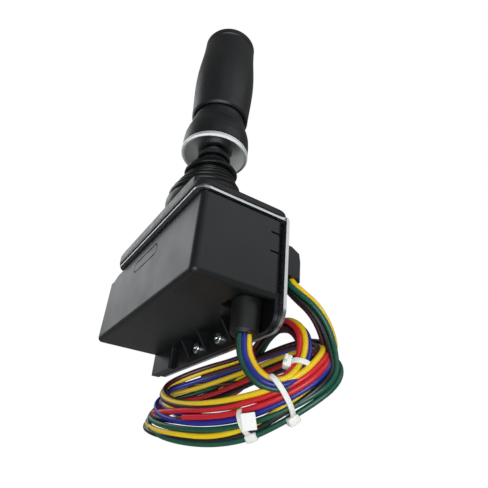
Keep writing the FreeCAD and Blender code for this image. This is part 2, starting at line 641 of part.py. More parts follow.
def lever_hub():
    """Cast hub: barrel on the pivot line, neck round the tube, sleeve and paddle for the return spring."""
    barrel = rod((-HUB_HALF, 0, PIVOT_Z), (1, 0, 0), HUB_R, 2 * HUB_HALF)
    sleeve = rod((HUB_SLEEVE_END, 0, PIVOT_Z), (1, 0, 0), HUB_SLEEVE_R, HUB_SLEEVE_L)
    neck = turned([(0, PIVOT_Z), (HUB_R, PIVOT_Z), (HUB_NECK_R, PIVOT_Z + HUB_NECK_R), (HUB_NECK_R, HUB_TOP - 1), (HUB_NECK_R - 1, HUB_TOP), (0, HUB_TOP)])
    trim = box(-HUB_HALF, HUB_HALF, -2 * HUB_R, 2 * HUB_R, PIVOT_Z, HUB_TOP)
    half = spring_leg_gap()
    paddle = box(HUB_SLEEVE_END + 1, -HUB_HALF / 2, -half, half, PIVOT_Z - PADDLE_IN - PADDLE_T, PIVOT_Z - PADDLE_IN)
    hub = barrel.fuse([neck.common(trim), sleeve, paddle]).removeSplitter()
    cuts = [rod((0, 0, TUBE_BOTTOM), (0, 0, 1), TUBE_R, 2 * HUB_R), rod((0, 0, PIVOT_Z - 2 * HUB_R), (0, 0, 1), TUBE_BORE_R, 4 * HUB_R),
            rod((HUB_SLEEVE_END - 1, 0, PIVOT_Z), (1, 0, 0), PIN_R, 4 * HUB_R)]
    return without(hub, cuts)


def spring_leg_gap():
    """Half the width of what stands between the spring's legs."""
    return SPRING_COIL_R - SPRING_WIRE_R - SEAT_GAP / 2


def pivot_pins():
    """Two stub pins pressed into the hub, leaving the middle free for the lock rod; the right one drives the sensor."""
    left = rod((-CHEEK_LEFT - CHEEK_T, 0, PIVOT_Z), (1, 0, 0), PIN_R, CHEEK_LEFT + CHEEK_T - PIN_IN)
    right = rod((PIN_IN, 0, PIVOT_Z), (1, 0, 0), PIN_R, PIN_OUT - PIN_IN)
    flat = box(CHEEK_RIGHT + CHEEK_T, PIN_OUT + 1, -PIN_R, PIN_R, PIVOT_Z + PIN_R * 0.6, PIVOT_Z + PIN_R + 1)
    return Part.makeCompound([left, right.cut(flat)])


def lever_tube():
    tube = ring((0, 0, TUBE_BOTTOM), (0, 0, 1), TUBE_R, TUBE_BORE_R, TUBE_TOP - TUBE_BOTTOM)
    low, high = CROSS_PIN_Z - CROSS_PIN_R - BODY_GAP, CROSS_PIN_Z + LOCK_TRAVEL + CROSS_PIN_R + BODY_GAP
    half = CROSS_PIN_R + SLIDE_FIT
    slot = box(-TUBE_R - 1, TUBE_R + 1, -half, half, low, high)
    return tube.cut(slot)


def pivot_frame():
    """Folded steel frame: web screwed under the plate, two cheeks for the bushes, tongue for the spring's legs."""
    x0, x1 = -CHEEK_LEFT - CHEEK_T, CHEEK_RIGHT + CHEEK_T
    web = box(x0, x1, -WEB_HALF_Y, WEB_HALF_Y, PLATE_BOTTOM - CHEEK_T, PLATE_BOTTOM)
    cheeks = []
    for a, b in ((x0, -CHEEK_LEFT), (CHEEK_RIGHT, x1)):
        cheek = box(a, b, -CHEEK_HALF_Y, CHEEK_HALF_Y, -CHEEK_DROP, PLATE_BOTTOM - CHEEK_T / 2)
        low = [e for e in cheek.Edges if is_level(e, -CHEEK_DROP) and abs(e.Vertexes[0].Point.y - e.Vertexes[-1].Point.y) < 1e-6]
        cheeks.append(cheek.makeFillet(CHEEK_HALF_Y * 0.4, low))
    half = spring_leg_gap()
    tongue = box(-CHEEK_LEFT - 1, -HUB_HALF - SEAT_GAP, -half, half, PIVOT_Z - TONGUE_IN - TONGUE_T, PIVOT_Z - TONGUE_IN)
    frame = web.fuse(cheeks + [tongue]).removeSplitter()
    cuts = [rounded_plate(-OPENING_X / 2, OPENING_X / 2, -OPENING_HALF_Y, OPENING_HALF_Y, -3 * SHEET, SHEET, OPENING_CORNER)]
    cuts += [rod((x0 - 1, 0, PIVOT_Z), (1, 0, 0), BUSH_R, CHEEK_T + 1), rod((CHEEK_RIGHT, 0, PIVOT_Z), (1, 0, 0), BUSH_R, CHEEK_T + 1)]
    cuts += [rod((x, y, -2 * CHEEK_T - SHEET), (0, 0, 1), SCREW_PILOT_R, 3 * CHEEK_T) for x, y in frame_screw_places()]
    return without(frame, cuts)


def gate_plate():
    """Curved gate on the right cheek, concentric with the pivot, with the neutral notch under the lock rod."""
    x0 = CHEEK_RIGHT - GATE_REACH
    outer = rod((x0, 0, PIVOT_Z), (1, 0, 0), GATE_INNER + GATE_T, GATE_REACH)
    inner = rod((x0 - 1, 0, PIVOT_Z), (1, 0, 0), GATE_INNER, GATE_REACH + 2)
    sector = box(x0, CHEEK_RIGHT, -GATE_HALF_Y, GATE_HALF_Y, PIVOT_Z - GATE_INNER - 2 * GATE_T, PIVOT_Z - GATE_INNER / 2)
    notch = rod((0, 0, PIVOT_Z - 2 * GATE_INNER), (0, 0, 1), GATE_NOTCH_R, 2 * GATE_INNER)
    return outer.cut(inner).common(sector).cut(notch)


def pivot_bushes():
    bushes = []
    for face, side in ((-CHEEK_LEFT, -1), (CHEEK_RIGHT, 1)):
        flange = ring((face, 0, PIVOT_Z), (-side, 0, 0), BUSH_FLANGE_R, PIN_R + RUN_FIT, BUSH_FLANGE_T)
        barrel = ring((face, 0, PIVOT_Z), (side, 0, 0), BUSH_R, PIN_R + RUN_FIT, CHEEK_T)
        bushes.append(flange.fuse(barrel).removeSplitter())
    return Part.makeCompound(bushes)


# Neutral lock

def lock_ring():
    """Turned aluminium pull ring: rounded edge, conical dish underneath, bored to press on the skirt."""
    bevel = RING_EDGE_BEVEL
    dish = RING_DISH_TOP - bevel
    profile = [(SKIRT_SPIGOT_R, dish), (SKIRT_SPIGOT_R + RING_DISH_DEPTH, dish),
               (RING_DISH_R, RING_EDGE_BOTTOM + bevel / 3), (RING_R - bevel, RING_EDGE_BOTTOM),
               (RING_R, RING_EDGE_BOTTOM + bevel), (RING_R, RING_EDGE_TOP - bevel),
               (RING_R - bevel, RING_EDGE_TOP), (SKIRT_SPIGOT_R, RING_EDGE_TOP)]
    return turned(profile)


def lock_skirt():
    """Flared plastic skirt on the ring; its upper sleeve slides inside the grip."""
    base = RING_EDGE_TOP
    w = SKIRT_WALL
    slide = TUBE_R + SLIDE_FIT
    low = RING_EDGE_BOTTOM + SEAT_GAP
    profile = [(slide, low), (SKIRT_SPIGOT_R, low), (SKIRT_SPIGOT_R, base), (SKIRT_FLARE_R, base)]
    profile += [(r, base + h) for r, h in SKIRT_BELL]
    profile += [(SKIRT_TOP_R, SKIRT_TOP), (SKIRT_SLEEVE_R, SKIRT_TOP), (SKIRT_SLEEVE_R, SKIRT_SLEEVE_TOP),
                (SKIRT_SLEEVE_R - w, SKIRT_SLEEVE_TOP), (SKIRT_SLEEVE_R - w, SKIRT_WEB_TOP), (slide, SKIRT_WEB_TOP)]
    hole = rod((-CROSS_PIN_HALF, 0, CROSS_PIN_Z), (1, 0, 0), CROSS_PIN_R, 2 * CROSS_PIN_HALF)
    return turned(profile).cut(hole)


def lock_cross_pin():
    return rod((-CROSS_PIN_HALF, 0, CROSS_PIN_Z), (1, 0, 0), CROSS_PIN_R, 2 * CROSS_PIN_HALF)


def lock_rod():
    """Rod inside the tube, tapered at its tip, that stands over the gate's notch."""
    tip = PIVOT_Z - ROD_TIP_BELOW
    top = CROSS_PIN_Z + 2 * CROSS_PIN_R + 1
    profile = [(0, tip), (ROD_R * ROD_TIP_SHARE, tip), (ROD_R, tip + ROD_R * ROD_TIP_SHARE), (ROD_R, top), (0, top)]
    return turned(profile).cut(rod((-2 * ROD_R, 0, CROSS_PIN_Z), (1, 0, 0), CROSS_PIN_R, 4 * ROD_R))


def helix_spring(z0, z1, coil_r, wire_r, turns):
    """Compression spring on the vertical axis with its wire centre from z0 to z1."""
    height = z1 - z0
    path = Part.makeHelix(height / turns, height, coil_r)
    path.translate(vec(0, 0, z0))
    start = vec(coil_r, 0, z0)
    section = Part.Wire(Part.makeCircle(wire_r, start, vec(0, 1, height / turns / (2 * math.pi * coil_r))))
    return Part.Wire(path).makePipeShell([section], True, True)


def lock_spring():
    low = SKIRT_WEB_TOP + LOCK_SPRING_WIRE + SEAT_GAP
    high = CORE_BOTTOM - LOCK_SPRING_WIRE - SEAT_GAP
    return helix_spring(low, high, LOCK_SPRING_R, LOCK_SPRING_WIRE, LOCK_SPRING_TURNS)


def return_spring():
    """Torsion spring round the hub sleeve: leg, three and a half turns along X, leg, swept as one wire."""
    turns = SPRING_TURNS + 0.5
    length = SPRING_PITCH * turns
    helix = Part.makeHelix(SPRING_PITCH, length, SPRING_COIL_R)
    rise = SPRING_PITCH / (2 * math.pi * SPRING_COIL_R)
    first = vec(SPRING_COIL_R, 0, 0)
    last = vec(-SPRING_COIL_R, 0, length)
    foot = first - vec(0, 1, rise) * SPRING_LEG
    tip = last + vec(0, -1, rise) * SPRING_LEG
    path = Part.Wire([Part.makeLine(foot, first)] + helix.Edges + [Part.makeLine(last, tip)])
    section = Part.Wire(Part.makeCircle(SPRING_WIRE_R, foot, vec(0, 1, rise)))
    spring = path.makePipeShell([section], True, False)
    spring.rotate(vec(0, 0, 0), vec(1, 1, 1), 120)
    x0 = (BUSH_FLANGE_T - CHEEK_LEFT - HUB_HALF - length) / 2
    spring.translate(vec(x0, 0, PIVOT_Z))
    return spring


# Grip

def grip_curve(points, straight):
    """Wire through the outline points as one smooth curve, closed by the straight corner points."""
    curve = Part.BSplineCurve()
    curve.interpolate([vec(r, 0, z) for r, z in points])
    edges = [curve.toShape()]
    corners = [vec(points[-1][0], 0, points[-1][1])] + [vec(r, 0, z) for r, z in straight] + [vec(points[0][0], 0, points[0][1])]
    edges += [Part.makeLine(a, b) for a, b in zip(corners, corners[1:])]
    face = Part.Face(Part.Wire(edges))
    return face.revolve(vec(0, 0, 0), vec(0, 0, 1), 360)


def grip_sleeve():
    """Soft-touch sleeve: waisted outline outside, core bore above and lock skirt bore below."""
    outline = [(r, GRIP_BOTTOM + h) for r, h in GRIP_OUTLINE]
    inside = [(outline[-1][0] - GRIP_EDGE, GRIP_TOP), (CORE_R, GRIP_TOP), (CORE_R, CORE_BOTTOM),
              (SLEEVE_BORE, CORE_BOTTOM), (SLEEVE_BORE, GRIP_BOTTOM), (outline[0][0] - GRIP_EDGE, GRIP_BOTTOM)]
    return grip_curve(outline, inside)


def grip_core():
    """Plastic core on the tube with a pocket for the nut and the cap's spigot, and lightening slots."""
    profile = [(TUBE_R, CORE_BOTTOM), (CORE_R, CORE_BOTTOM), (CORE_R, CORE_TOP), (CORE_POCKET_R, CORE_TOP),
               (CORE_POCKET_R, CORE_POCKET_FLOOR), (TUBE_R, CORE_POCKET_FLOOR)]
    return turned(profile)


def grip_nut():
    nut = hex_prism((0, 0, CORE_POCKET_FLOOR), (0, 0, 1), NUT_ACROSS, NUT_H)
    return nut.cut(rod((0, 0, CORE_POCKET_FLOOR - 1), (0, 0, 1), TUBE_R, NUT_H + 2))


def grip_cap():
    """Blank low cap with a rounded edge and a spigot that clips into the core."""
    w, e = CAP_WALL, CAP_EDGE
    roof = CAP_SHOULDER - w
    profile = [(CAP_R - GRIP_EDGE, GRIP_TOP), (CAP_R, GRIP_TOP + GRIP_EDGE), (CAP_R, CAP_SHOULDER - e),
               (CAP_R - e / 3, CAP_SHOULDER - e / 3), (CAP_R - e, CAP_SHOULDER), (CAP_FLAT_R, CAP_CROWN - e / 3), (0, CAP_CROWN),
               (0, CAP_CROWN - w), (CAP_FLAT_R - e, CAP_CROWN - w - e / 3), (CAP_R - w - e, roof),
               (CAP_R - w - e, GRIP_TOP + w), (CAP_SPIGOT_R, GRIP_TOP + w), (CAP_SPIGOT_R, GRIP_TOP - CAP_SPIGOT),
               (CAP_SPIGOT_R - w, GRIP_TOP - CAP_SPIGOT), (CAP_SPIGOT_R - w, GRIP_TOP), (CAP_SPIGOT_R, GRIP_TOP)]
    return turned(profile)


# Sensor and electronics

def angle_sensor():
    """Rotary sensor on the outside of the flange-side cheek, driven by the pin's flat."""
    x0 = CHEEK_RIGHT + CHEEK_T
    body = rod((x0, 0, PIVOT_Z), (1, 0, 0), SENSOR_R, SENSOR_T)
    bore = rod((x0 - 1, 0, PIVOT_Z), (1, 0, 0), PIN_R + RUN_FIT, SENSOR_T + 2)
    return body.cut(bore)


def circuit_board():
    y1 = BOARD_START + BOARD_L
    board = rounded_plate(-BOARD_W / 2, BOARD_W / 2, BOARD_START, y1, BOARD_BOTTOM, BOARD_BOTTOM + BOARD_T, 1.5)
    return board.cut([rod((x, y, BOARD_BOTTOM - 1), (0, 0, 1), SCREW_PILOT_R, BOARD_T + 2) for x, y in board_places()])


def board_components():
    """Controller, driver, connector and two upright capacitors, each placed by its share of the board."""
    top = BOARD_BOTTOM + BOARD_T
    flat = [on_board(0.5, 0.5, CHIP, top), on_board(0.36, 0.24, DRIVER, top), on_board(0.5, 0.09, HEADER, top)]
    tall = [rod((BOARD_W * share, BOARD_START + BOARD_L * 0.78, top), (0, 0, 1), CAPACITOR_R, CAPACITOR_H)
            for share in (-0.17, 0.17)]
    return Part.makeCompound(flat + tall)


def on_board(across, along, size, top):
    x = BOARD_W * (across - 0.5)
    y = BOARD_START + BOARD_L * along
    return box(x - size[0] / 2, x + size[0] / 2, y - size[1] / 2, y + size[1] / 2, top, top + size[2])


def board_screws():
    top = BOARD_BOTTOM + BOARD_T
    screws = []
    for x, y in board_places():
        head = rod((x, y, top), (0, 0, 1), SMALL_SCREW_HEAD_R - 0.4, SMALL_SCREW_HEAD_H)
        shank = rod((x, y, top - BOARD_T - 4), (0, 0, 1), SCREW_PILOT_R - BODY_GAP, BOARD_T + 4)
        screws.append(head.fuse(shank).removeSplitter())
    return Part.makeCompound(screws)


# Wires

GLAND_ROUTE = ((12.3, -29.5, -58.9), (14.0, -31.2, -66.9), (18.6, -36.4, -74.2), (25.6, -41.2, -74.6),
               (31.0, -43.6, -67.6), (33.4, -43.4, -58.8), (34.0, -39.6, -50.6), (33.4, -31.4, -45.2),
               (33.6, -21.6, -43.4), (34.4, -11.6, -46.0), (36.4, -3.2, -50.6), (38.6, -0.4, -57.6))
SIDE_ROUTE = ((28.1, -35.6, -29.2), (30.2, -38.2, -36.8), (35.4, -42.2, -43.4), (41.2, -45.0, -50.0),
              (44.4, -46.6, -58.0))


def gland_points():
    return ((GLAND_X, GLAND_Y, POCKET_CEILING - GLAND_LENGTH + GLAND_INSERT),) + GLAND_ROUTE


def side_points():
    x, y, z = side_exit()
    return ((x, y, z + RELIEF_INSERT),) + SIDE_ROUTE


def route_path(points):
    """Straight runs joined by tangent arcs, each as large as its two runs allow. Returns wire and radii."""
    pts = [vec(*p) for p in points]
    edges, radii = [], []
    last = pts[0]
    for i in range(1, len(pts) - 1):
        a, b = pts[i] - pts[i - 1], pts[i + 1] - pts[i]
        turn = a.getAngle(b)
        radius = 0.45 * min(a.Length, b.Length) / math.tan(turn / 2)
        reach = radius * math.tan(turn / 2)
        a.normalize()
        b.normalize()
        start, end = pts[i] - a * reach, pts[i] + b * reach
        inward = b - a
        inward.normalize()
        middle = pts[i] + inward * (radius / math.cos(turn / 2) - radius)
        edges.append(Part.LineSegment(last, start).toShape())
        edges.append(Part.Arc(start, middle, end).toShape())
        radii.append(radius)
        last = end
    edges.append(Part.LineSegment(last, pts[-1]).toShape())
    return Part.Wire(edges), radii


def lead(name, points, radius):
    path, radii = route_path(points)
    along = vec(*points[1]) - vec(*points[0])
    section = Part.Wire(Part.makeCircle(radius, vec(*points[0]), along))
    tube = path.makePipeShell([section], True, False)
    print(name, "length", round(path.Length, 1), "radii", [round(r, 1) for r in radii],
          "volume ratio", round(tube.Volume / (math.pi * radius ** 2 * path.Length), 4))
    return tube


def coil_axes():
    long_axis = vec(*COIL_LONG)
    long_axis.normalize()
    short_axis = vec(*COIL_SHORT)
    normal = long_axis.cross(short_axis)
    normal.normalize()
    return long_axis, normal.cross(long_axis), normal


def wire_coil():
    """Outer shape of the hank of wires: a round section swept along a long oval."""
    u, v, n = coil_axes()
    c = vec(*COIL_CENTRE)
    r = COIL_HALF_W
    s = COIL_HALF_L - COIL_HALF_W
    a, b = c + u * s - v * r, c - u * s - v * r
    d, e = c - u * s + v * r, c + u * s + v * r
    path = Part.Wire([Part.LineSegment(a, b).toShape(), Part.Arc(b, c - u * (s + r), d).toShape(),
                      Part.LineSegment(d, e).toShape(), Part.Arc(e, c + u * (s + r), a).toShape()])
    section = Part.Wire(Part.makeCircle(COIL_R, a, u))
    return path.makePipeShell([section], True, False)


def coil_point(along, across):
    u, v, _ = coil_axes()
    return vec(*COIL_CENTRE) + u * along + v * across


def tie_band(centre, along, out, radius):
    """Cable tie round a bundle of the given radius at centre, with its head on the out side."""
    half = along * (TIE_W / 2)
    start = centre - half
    band = Part.makeCylinder(radius + TIE_GAP + TIE_T, TIE_W, start, along)
    band = band.cut(Part.makeCylinder(radius + TIE_GAP, TIE_W, start, along))
    side = along.cross(out)
    corner = centre + out * (radius + TIE_GAP + TIE_T / 2) - along * (TIE_HEAD / 2) - side * (TIE_HEAD / 2)
    base = [corner, corner + along * TIE_HEAD, corner + along * TIE_HEAD + side * TIE_HEAD, corner + side * TIE_HEAD]
    head = Part.Face(Part.makePolygon(base + base[:1])).extrude(out * (TIE_HEAD * 0.7))
    return band.fuse(head).removeSplitter()


def coil_tie(along):
    u, v, n = coil_axes()
    return tie_band(coil_point(along, -COIL_HALF_W), u, n * -1, COIL_R)


def loop_tie():
    """Tie on the rising side of the small loop, in the middle of its run."""
    a, b = vec(*GLAND_ROUTE[4]), vec(*GLAND_ROUTE[5])
    along = b - a
    along.normalize()
    out = along.cross(vec(0, 1, 0))
    out.normalize()
    return tie_band(a + (b - a) * LOOP_TIE_SHARE, along, out, LEAD_R)


def flag_label():
    """Blank folded label that hangs from the flag tie, seen flat from the near side."""
    u, v, n = coil_axes()
    top = coil_point(FLAG_TIE_ALONG, -COIL_HALF_W) - v * (COIL_R + TIE_GAP + TIE_T) - u * (FLAG_W / 2)
    corners = [top, top + u * FLAG_W, top + u * FLAG_W - v * FLAG_L, top - v * FLAG_L]
    return Part.Face(Part.makePolygon(corners + corners[:1])).extrude(n * FLAG_T)


def main():
    os.makedirs("parts", exist_ok=True)
    save("mounting_bracket", mounting_bracket())
    save("clinch_nuts", clinch_nuts())
    save("housing", housing())
    save("skirt_screws", skirt_screws())
    save("housing_screws", top_screws(housing_screw_places(), HOUSING_SCREW_L))
    save("frame_screws", top_screws(frame_screw_places(), FRAME_SCREW_L))
    save("cable_gland", cable_gland())
    save("side_strain_relief", side_strain_relief())
    save("gaiter_rim", gaiter_rim())
    save("gaiter_bellows", gaiter_bellows())
    save("neck_collar", neck_collar())
    save("lever_hub", lever_hub())
    save("pivot_pins", pivot_pins())
    save("lever_tube", lever_tube())
    save("pivot_frame", pivot_frame())
    save("gate_plate", gate_plate())
    save("pivot_bushes", pivot_bushes())
    save("lock_ring", lock_ring())
    save("lock_skirt", lock_skirt())
    save("lock_cross_pin", lock_cross_pin())
    save("lock_rod", lock_rod())
    save("lock_spring", lock_spring())
    save("grip_sleeve", grip_sleeve())
    save("grip_core", grip_core())
    save("grip_nut", grip_nut())
    save("grip_cap", grip_cap())
    save("angle_sensor", angle_sensor())
    save("circuit_board", circuit_board())
    save("board_components", board_components())
    save("board_screws", board_screws())
    save("gland_lead", lead("gland_lead", gland_points(), LEAD_R))
    save("side_lead", lead("side_lead", side_points(), SIDE_LEAD_R))
    save("wire_coil", wire_coil())
    save("return_spring", return_spring())
    save("lower_tie", coil_tie(LOWER_TIE_ALONG))
    save("flag_tie", coil_tie(FLAG_TIE_ALONG))
    save("loop_tie", loop_tie())
    save("flag_label", flag_label())


main()
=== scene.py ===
import json
import math
import bpy
from mathutils import Matrix, Vector


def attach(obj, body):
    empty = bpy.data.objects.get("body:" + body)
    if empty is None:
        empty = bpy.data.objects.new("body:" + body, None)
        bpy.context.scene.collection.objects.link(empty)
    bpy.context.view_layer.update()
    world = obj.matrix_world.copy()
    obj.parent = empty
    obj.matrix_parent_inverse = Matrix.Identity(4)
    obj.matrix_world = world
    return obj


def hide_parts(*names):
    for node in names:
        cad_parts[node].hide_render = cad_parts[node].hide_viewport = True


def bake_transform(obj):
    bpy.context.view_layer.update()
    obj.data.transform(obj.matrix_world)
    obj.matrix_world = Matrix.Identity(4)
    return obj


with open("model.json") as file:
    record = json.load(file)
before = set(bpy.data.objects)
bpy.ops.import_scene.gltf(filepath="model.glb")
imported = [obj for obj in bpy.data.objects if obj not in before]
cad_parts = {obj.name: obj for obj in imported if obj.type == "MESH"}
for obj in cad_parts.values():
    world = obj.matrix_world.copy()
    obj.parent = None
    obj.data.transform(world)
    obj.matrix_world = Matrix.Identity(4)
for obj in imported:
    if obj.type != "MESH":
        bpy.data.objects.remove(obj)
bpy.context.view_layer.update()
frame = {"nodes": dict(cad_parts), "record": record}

bl_info = {
    "name": "Lever joystick dressing",
    "version": (1, 0, 0),
    "blender": (4, 5, 0),
    "location": "3D View > Sidebar > Joystick",
    "description": "Dresses the joystick's frame with its gaiter, wires, ties, finishes and studio",
    "category": "Object",
}

MM = 0.001

# Camera of the photograph, in the row's frame
CAMERA_PLACE = Vector((-0.08015, -0.18354, -0.11486))
CAMERA_RIGHT = Vector((0.8404, -0.5357, 0.0819))
CAMERA_DOWN = Vector((0.3285, 0.3833, -0.8632))
CAMERA_FORWARD = Vector((0.4311, 0.7523, 0.4981))

# Middle lines of the bundles from the gland and from the side block, in metres. The gland's has the source's
# points but for the last, inside the hank; the side block's swings out up to 4 mm further than the source's.
GLAND_ROUTE = (
    (0.0122, -0.0295, -0.0513), (0.0123, -0.0295, -0.0589), (0.0140, -0.0312, -0.0669),
    (0.0186, -0.0364, -0.0742), (0.0256, -0.0412, -0.0746), (0.0310, -0.0436, -0.0676),
    (0.0334, -0.0434, -0.0588), (0.0340, -0.0396, -0.0506), (0.0334, -0.0314, -0.0452),
    (0.0336, -0.0216, -0.0434), (0.0344, -0.0116, -0.0460), (0.0364, -0.0032, -0.0506),
)
SIDE_ROUTE = (
    (0.02795, -0.0355, -0.0216), (0.0283, -0.0360, -0.0286), (0.0315, -0.0404, -0.0346),
    (0.0368, -0.0447, -0.0408), (0.0418, -0.0462, -0.0488), (0.0444, -0.0466, -0.0580),
)

# Turn of each bundle about its middle line from end to end, in degrees: the gland's takes its yellow wire
# from the inside of the small loop to the outside, and the side block's turns the other way
GLAND_TWIST = 135
SIDE_TWIST = -60

# The hank: a long oval about this centre, its long and short directions, and half its length and width
COIL_CENTRE = Vector((0.0253, -0.0094, -0.0725))
COIL_LONG = Vector((0.393, -0.893, 0.217)).normalized()
COIL_SHORT = Vector((0.643, 0.436, 0.629))
COIL_SHORT = (COIL_SHORT - COIL_LONG * COIL_SHORT.dot(COIL_LONG)).normalized()
COIL_NORMAL = COIL_LONG.cross(COIL_SHORT)
COIL_HALF_L = 0.0435
COIL_HALF_W = 0.0215
# A wire's points for each turn of the hank, the fewest that it has there, and its steps between two points
POINTS_PER_TURN = 16
FEWEST_POINTS = 4
WIRE_STEPS = 8

# Top and bottom strand of the hank at each eighth of a turn: height along the normal, step outwards, in mm
HANK_TOP = (
    (6.0, -0.5), (8.8, 1.5), (8.2, -0.5), (12.0, -2.5), (13.0, -5.3), (8.0, -6.0), (4.7, -3.0), (2.6, 0.0))
HANK_BOTTOM = (
    (-4.5, 3.0), (-2.5, 3.0), (-5.0, -1.0), (-6.0, -1.0), (2.5, 8.5), (0.5, 5.0), (-8.4, 0.5), (-7.0, 0.5))

# Each wire's colour, place in its bundle as an angle, the (share from the top strand down, column in mm) of
# its passes along the hank, half a turn each, and the angle where it ends
GLAND_WIRES = (
    ("yellow", 25, ((0.10, 0.0), (0.0, 0.0), (0.45, -2.4), (0.3, -2.6)), 640),
    ("red", -35, ((1.0, 0.0), (0.2, 0.0), (0.75, -2.4)), 560),
    ("blue", 80, ((0.35, 0.0), (0.6, 0.0), (0.25, -2.4), (0.5, -2.6)), 655),
    ("green", 128, ((0.62, 0.0), (1.24, -0.4), (0.55, 0.0)), 500),
    ("black", 175, ((0.82, 0.0), (0.7, -2.6), (0.9, -2.4), (0.95, -2.6)), 690),
    ("maroon", 235, ((0.0, 0.0), (0.1, -2.6), (0.2, -2.4)), 490),
)
SIDE_WIRES = (
    ("yellow", 62, ((0.62, -1.6), (1.0, 0.0), (0.5, 0.0)), -300),
    ("green", 125, ((1.0, 0.2), (0.8, 0.0), (0.7, 0.0)), -330),
    ("black", 185, ((0.8, 0.0), (1.13, -0.3), (0.15, 0.0)), -340),
    ("maroon", 250, ((0.5, -1.6), (0.1, 0.0), (0.95, -2.0)), -290),
    ("red", 320, ((0.4, 0.6), (0.4, 0.6)), -119),
)

# Each bundle's name, route, twist and wires, the angle where it joins the hank, and the angle in the middle
# of its first pass
BUNDLES = (
    ("gland", GLAND_ROUTE, GLAND_TWIST, GLAND_WIRES, 100, 110),
    ("side", SIDE_ROUTE, SIDE_TWIST, SIDE_WIRES, -12, 33),
)
# A wire keeps its place for this share of a half turn, then changes it over the share that follows
KEEPS_PLACE = 0.25
CHANGES_PLACE = 0.5

# The one end in view is stripped: its strands round a middle one, each through points given as mm along the
# wire and as a share of their spread; every next strand is cut a little longer
STRIPPED_END = ("side", "red")
STRANDS_AROUND = 6
STRAND_POINTS = ((-1.0, 0.4), (2.6, 0.6), (4.2, 1.1))
STRAND_STEP = 0.3
STRAND_RADIUS = 0.2 * MM
STRAND_SPREAD = 0.6

# Gaiter rows from the rim to the neck: radius and height in mm, lean in degrees, and shift to the left of
# the camera in mm. Each fold is a full ridge with a pinched groove above it.
GAITER_ROWS = (
    (20.4, 3.9, 0, 0), (21.0, 5.2, 0, 0), (21.4, 8.0, 0, 0.1), (21.0, 11.0, 0, 0.2),
    (18.6, 12.0, 0, 0.3), (20.6, 12.8, 1, 0.4), (21.2, 16.0, 1, 0.6), (21.0, 19.6, 2, 0.8),
    (20.4, 21.6, 3, 1.0), (17.8, 22.0, 3, 1.1), (19.8, 22.6, 4, 1.2), (19.9, 25.0, 4, 1.3),
    (19.2, 26.6, 5, 1.4), (16.4, 26.8, 5, 1.4), (18.5, 27.4, 5, 1.4), (18.2, 29.4, 5, 1.4),
    (17.4, 30.6, 5, 1.4), (14.8, 30.8, 5, 1.4), (16.8, 31.3, 5, 1.4), (16.4, 33.0, 4, 1.3),
    (15.6, 34.0, 4, 1.2), (13.2, 34.2, 4, 1.1), (15.1, 34.7, 4, 1.0), (14.7, 36.2, 4, 0.9),
    (14.0, 37.1, 4, 0.8), (12.0, 37.3, 4, 0.7), (13.5, 37.7, 4, 0.7), (13.1, 39.0, 3, 0.6),
    (12.4, 39.6, 3, 0.6), (11.2, 39.8, 3, 0.6), (13.2, 40.1, 3, 0.5), (14.6, 40.6, 3, 0.5),
    (14.5, 41.9, 2, 0.4), (13.9, 43.4, 2, 0.3), (12.8, 44.9, 1, 0.2), (11.0, 46.2, 0, 0.1),
    (8.8, 46.8, 0, 0), (8.4, 47.4, 0, 0), (8.4, 49.0, 0, 0), (8.4, 50.4, 0, 0),
)
GAITER_SIDES = 120
RIPPLE_SIZE = 14 * MM
RIPPLE_DEPTH = 1.2 * MM

# Bead of the rim: its middle from the rim's left edge, its width, its middle height and height, how much
# shorter than the rim it is, how far its middle lies behind the rim's, and the cuts before it is rounded
BEAD_INSET = 3.0 * MM
BEAD_WIDE = 5.2 * MM
BEAD_MIDDLE = 4.8 * MM
BEAD_HIGH = 5.6 * MM
BEAD_SHORTER = 8.0 * MM
BEAD_BACK = 3.4 * MM
BEAD_CUTS = 5

# Spring of the lock ring: lowest and highest point of its middle line, its radius, wire and turns, how many
# of these are closed at each end, the steps that draw one turn, and the gap up to which points are one
SPRING_LOW = 64.11 * MM
SPRING_HIGH = 94.69 * MM
SPRING_RADIUS = 7.6 * MM
SPRING_WIRE = 1.6 * MM
SPRING_TURNS = 7.5
SPRING_CLOSED = 0.75
SPRING_STEPS = 24
SPRING_WELD = 0.01 * MM

# Ties round the hank: piece and node, angle on the hank, share from its top strand down, half the band's
# height and width in mm, and lean in degrees
HANK_TIES = (
    ("lower_tie_band", "lower_tie", 306, 0.36, 8.4, 5.0, 28),
    ("flag_tie_band", "flag_tie", 281, 0.72, 4.6, 3.6, 0),
)
# The loop's tie: the route points that it lies between, the share of the way, and the band's radius
LOOP_TIE_POINTS = (5, 6)
LOOP_TIE_SHARE = 0.15
LOOP_TIE_RADIUS = 4.0 * MM
# The wires' direction at a tie is taken over this many degrees of the hank
TIE_AHEAD = 6
# Head and cut tail of a tie: size out from the band, across it and along it, and place beyond the band. Then
# the rounding of its edges, the sides of its band, and the degrees up to which its corners are shaded smooth.
TIE_HEAD = (3.4 * MM, 4.6 * MM, 5.0 * MM)
TIE_HEAD_OUT = 1.2 * MM
TIE_HEAD_EDGE = 0.7 * MM
TIE_TAIL = (1.2 * MM, 3.6 * MM)
TIE_TAIL_OUT = 1.8 * MM
TIE_TAIL_SIDE = 3.4 * MM
TIE_EDGE = 0.3 * MM
TIE_SIDES = 48
TIE_SMOOTH = 40

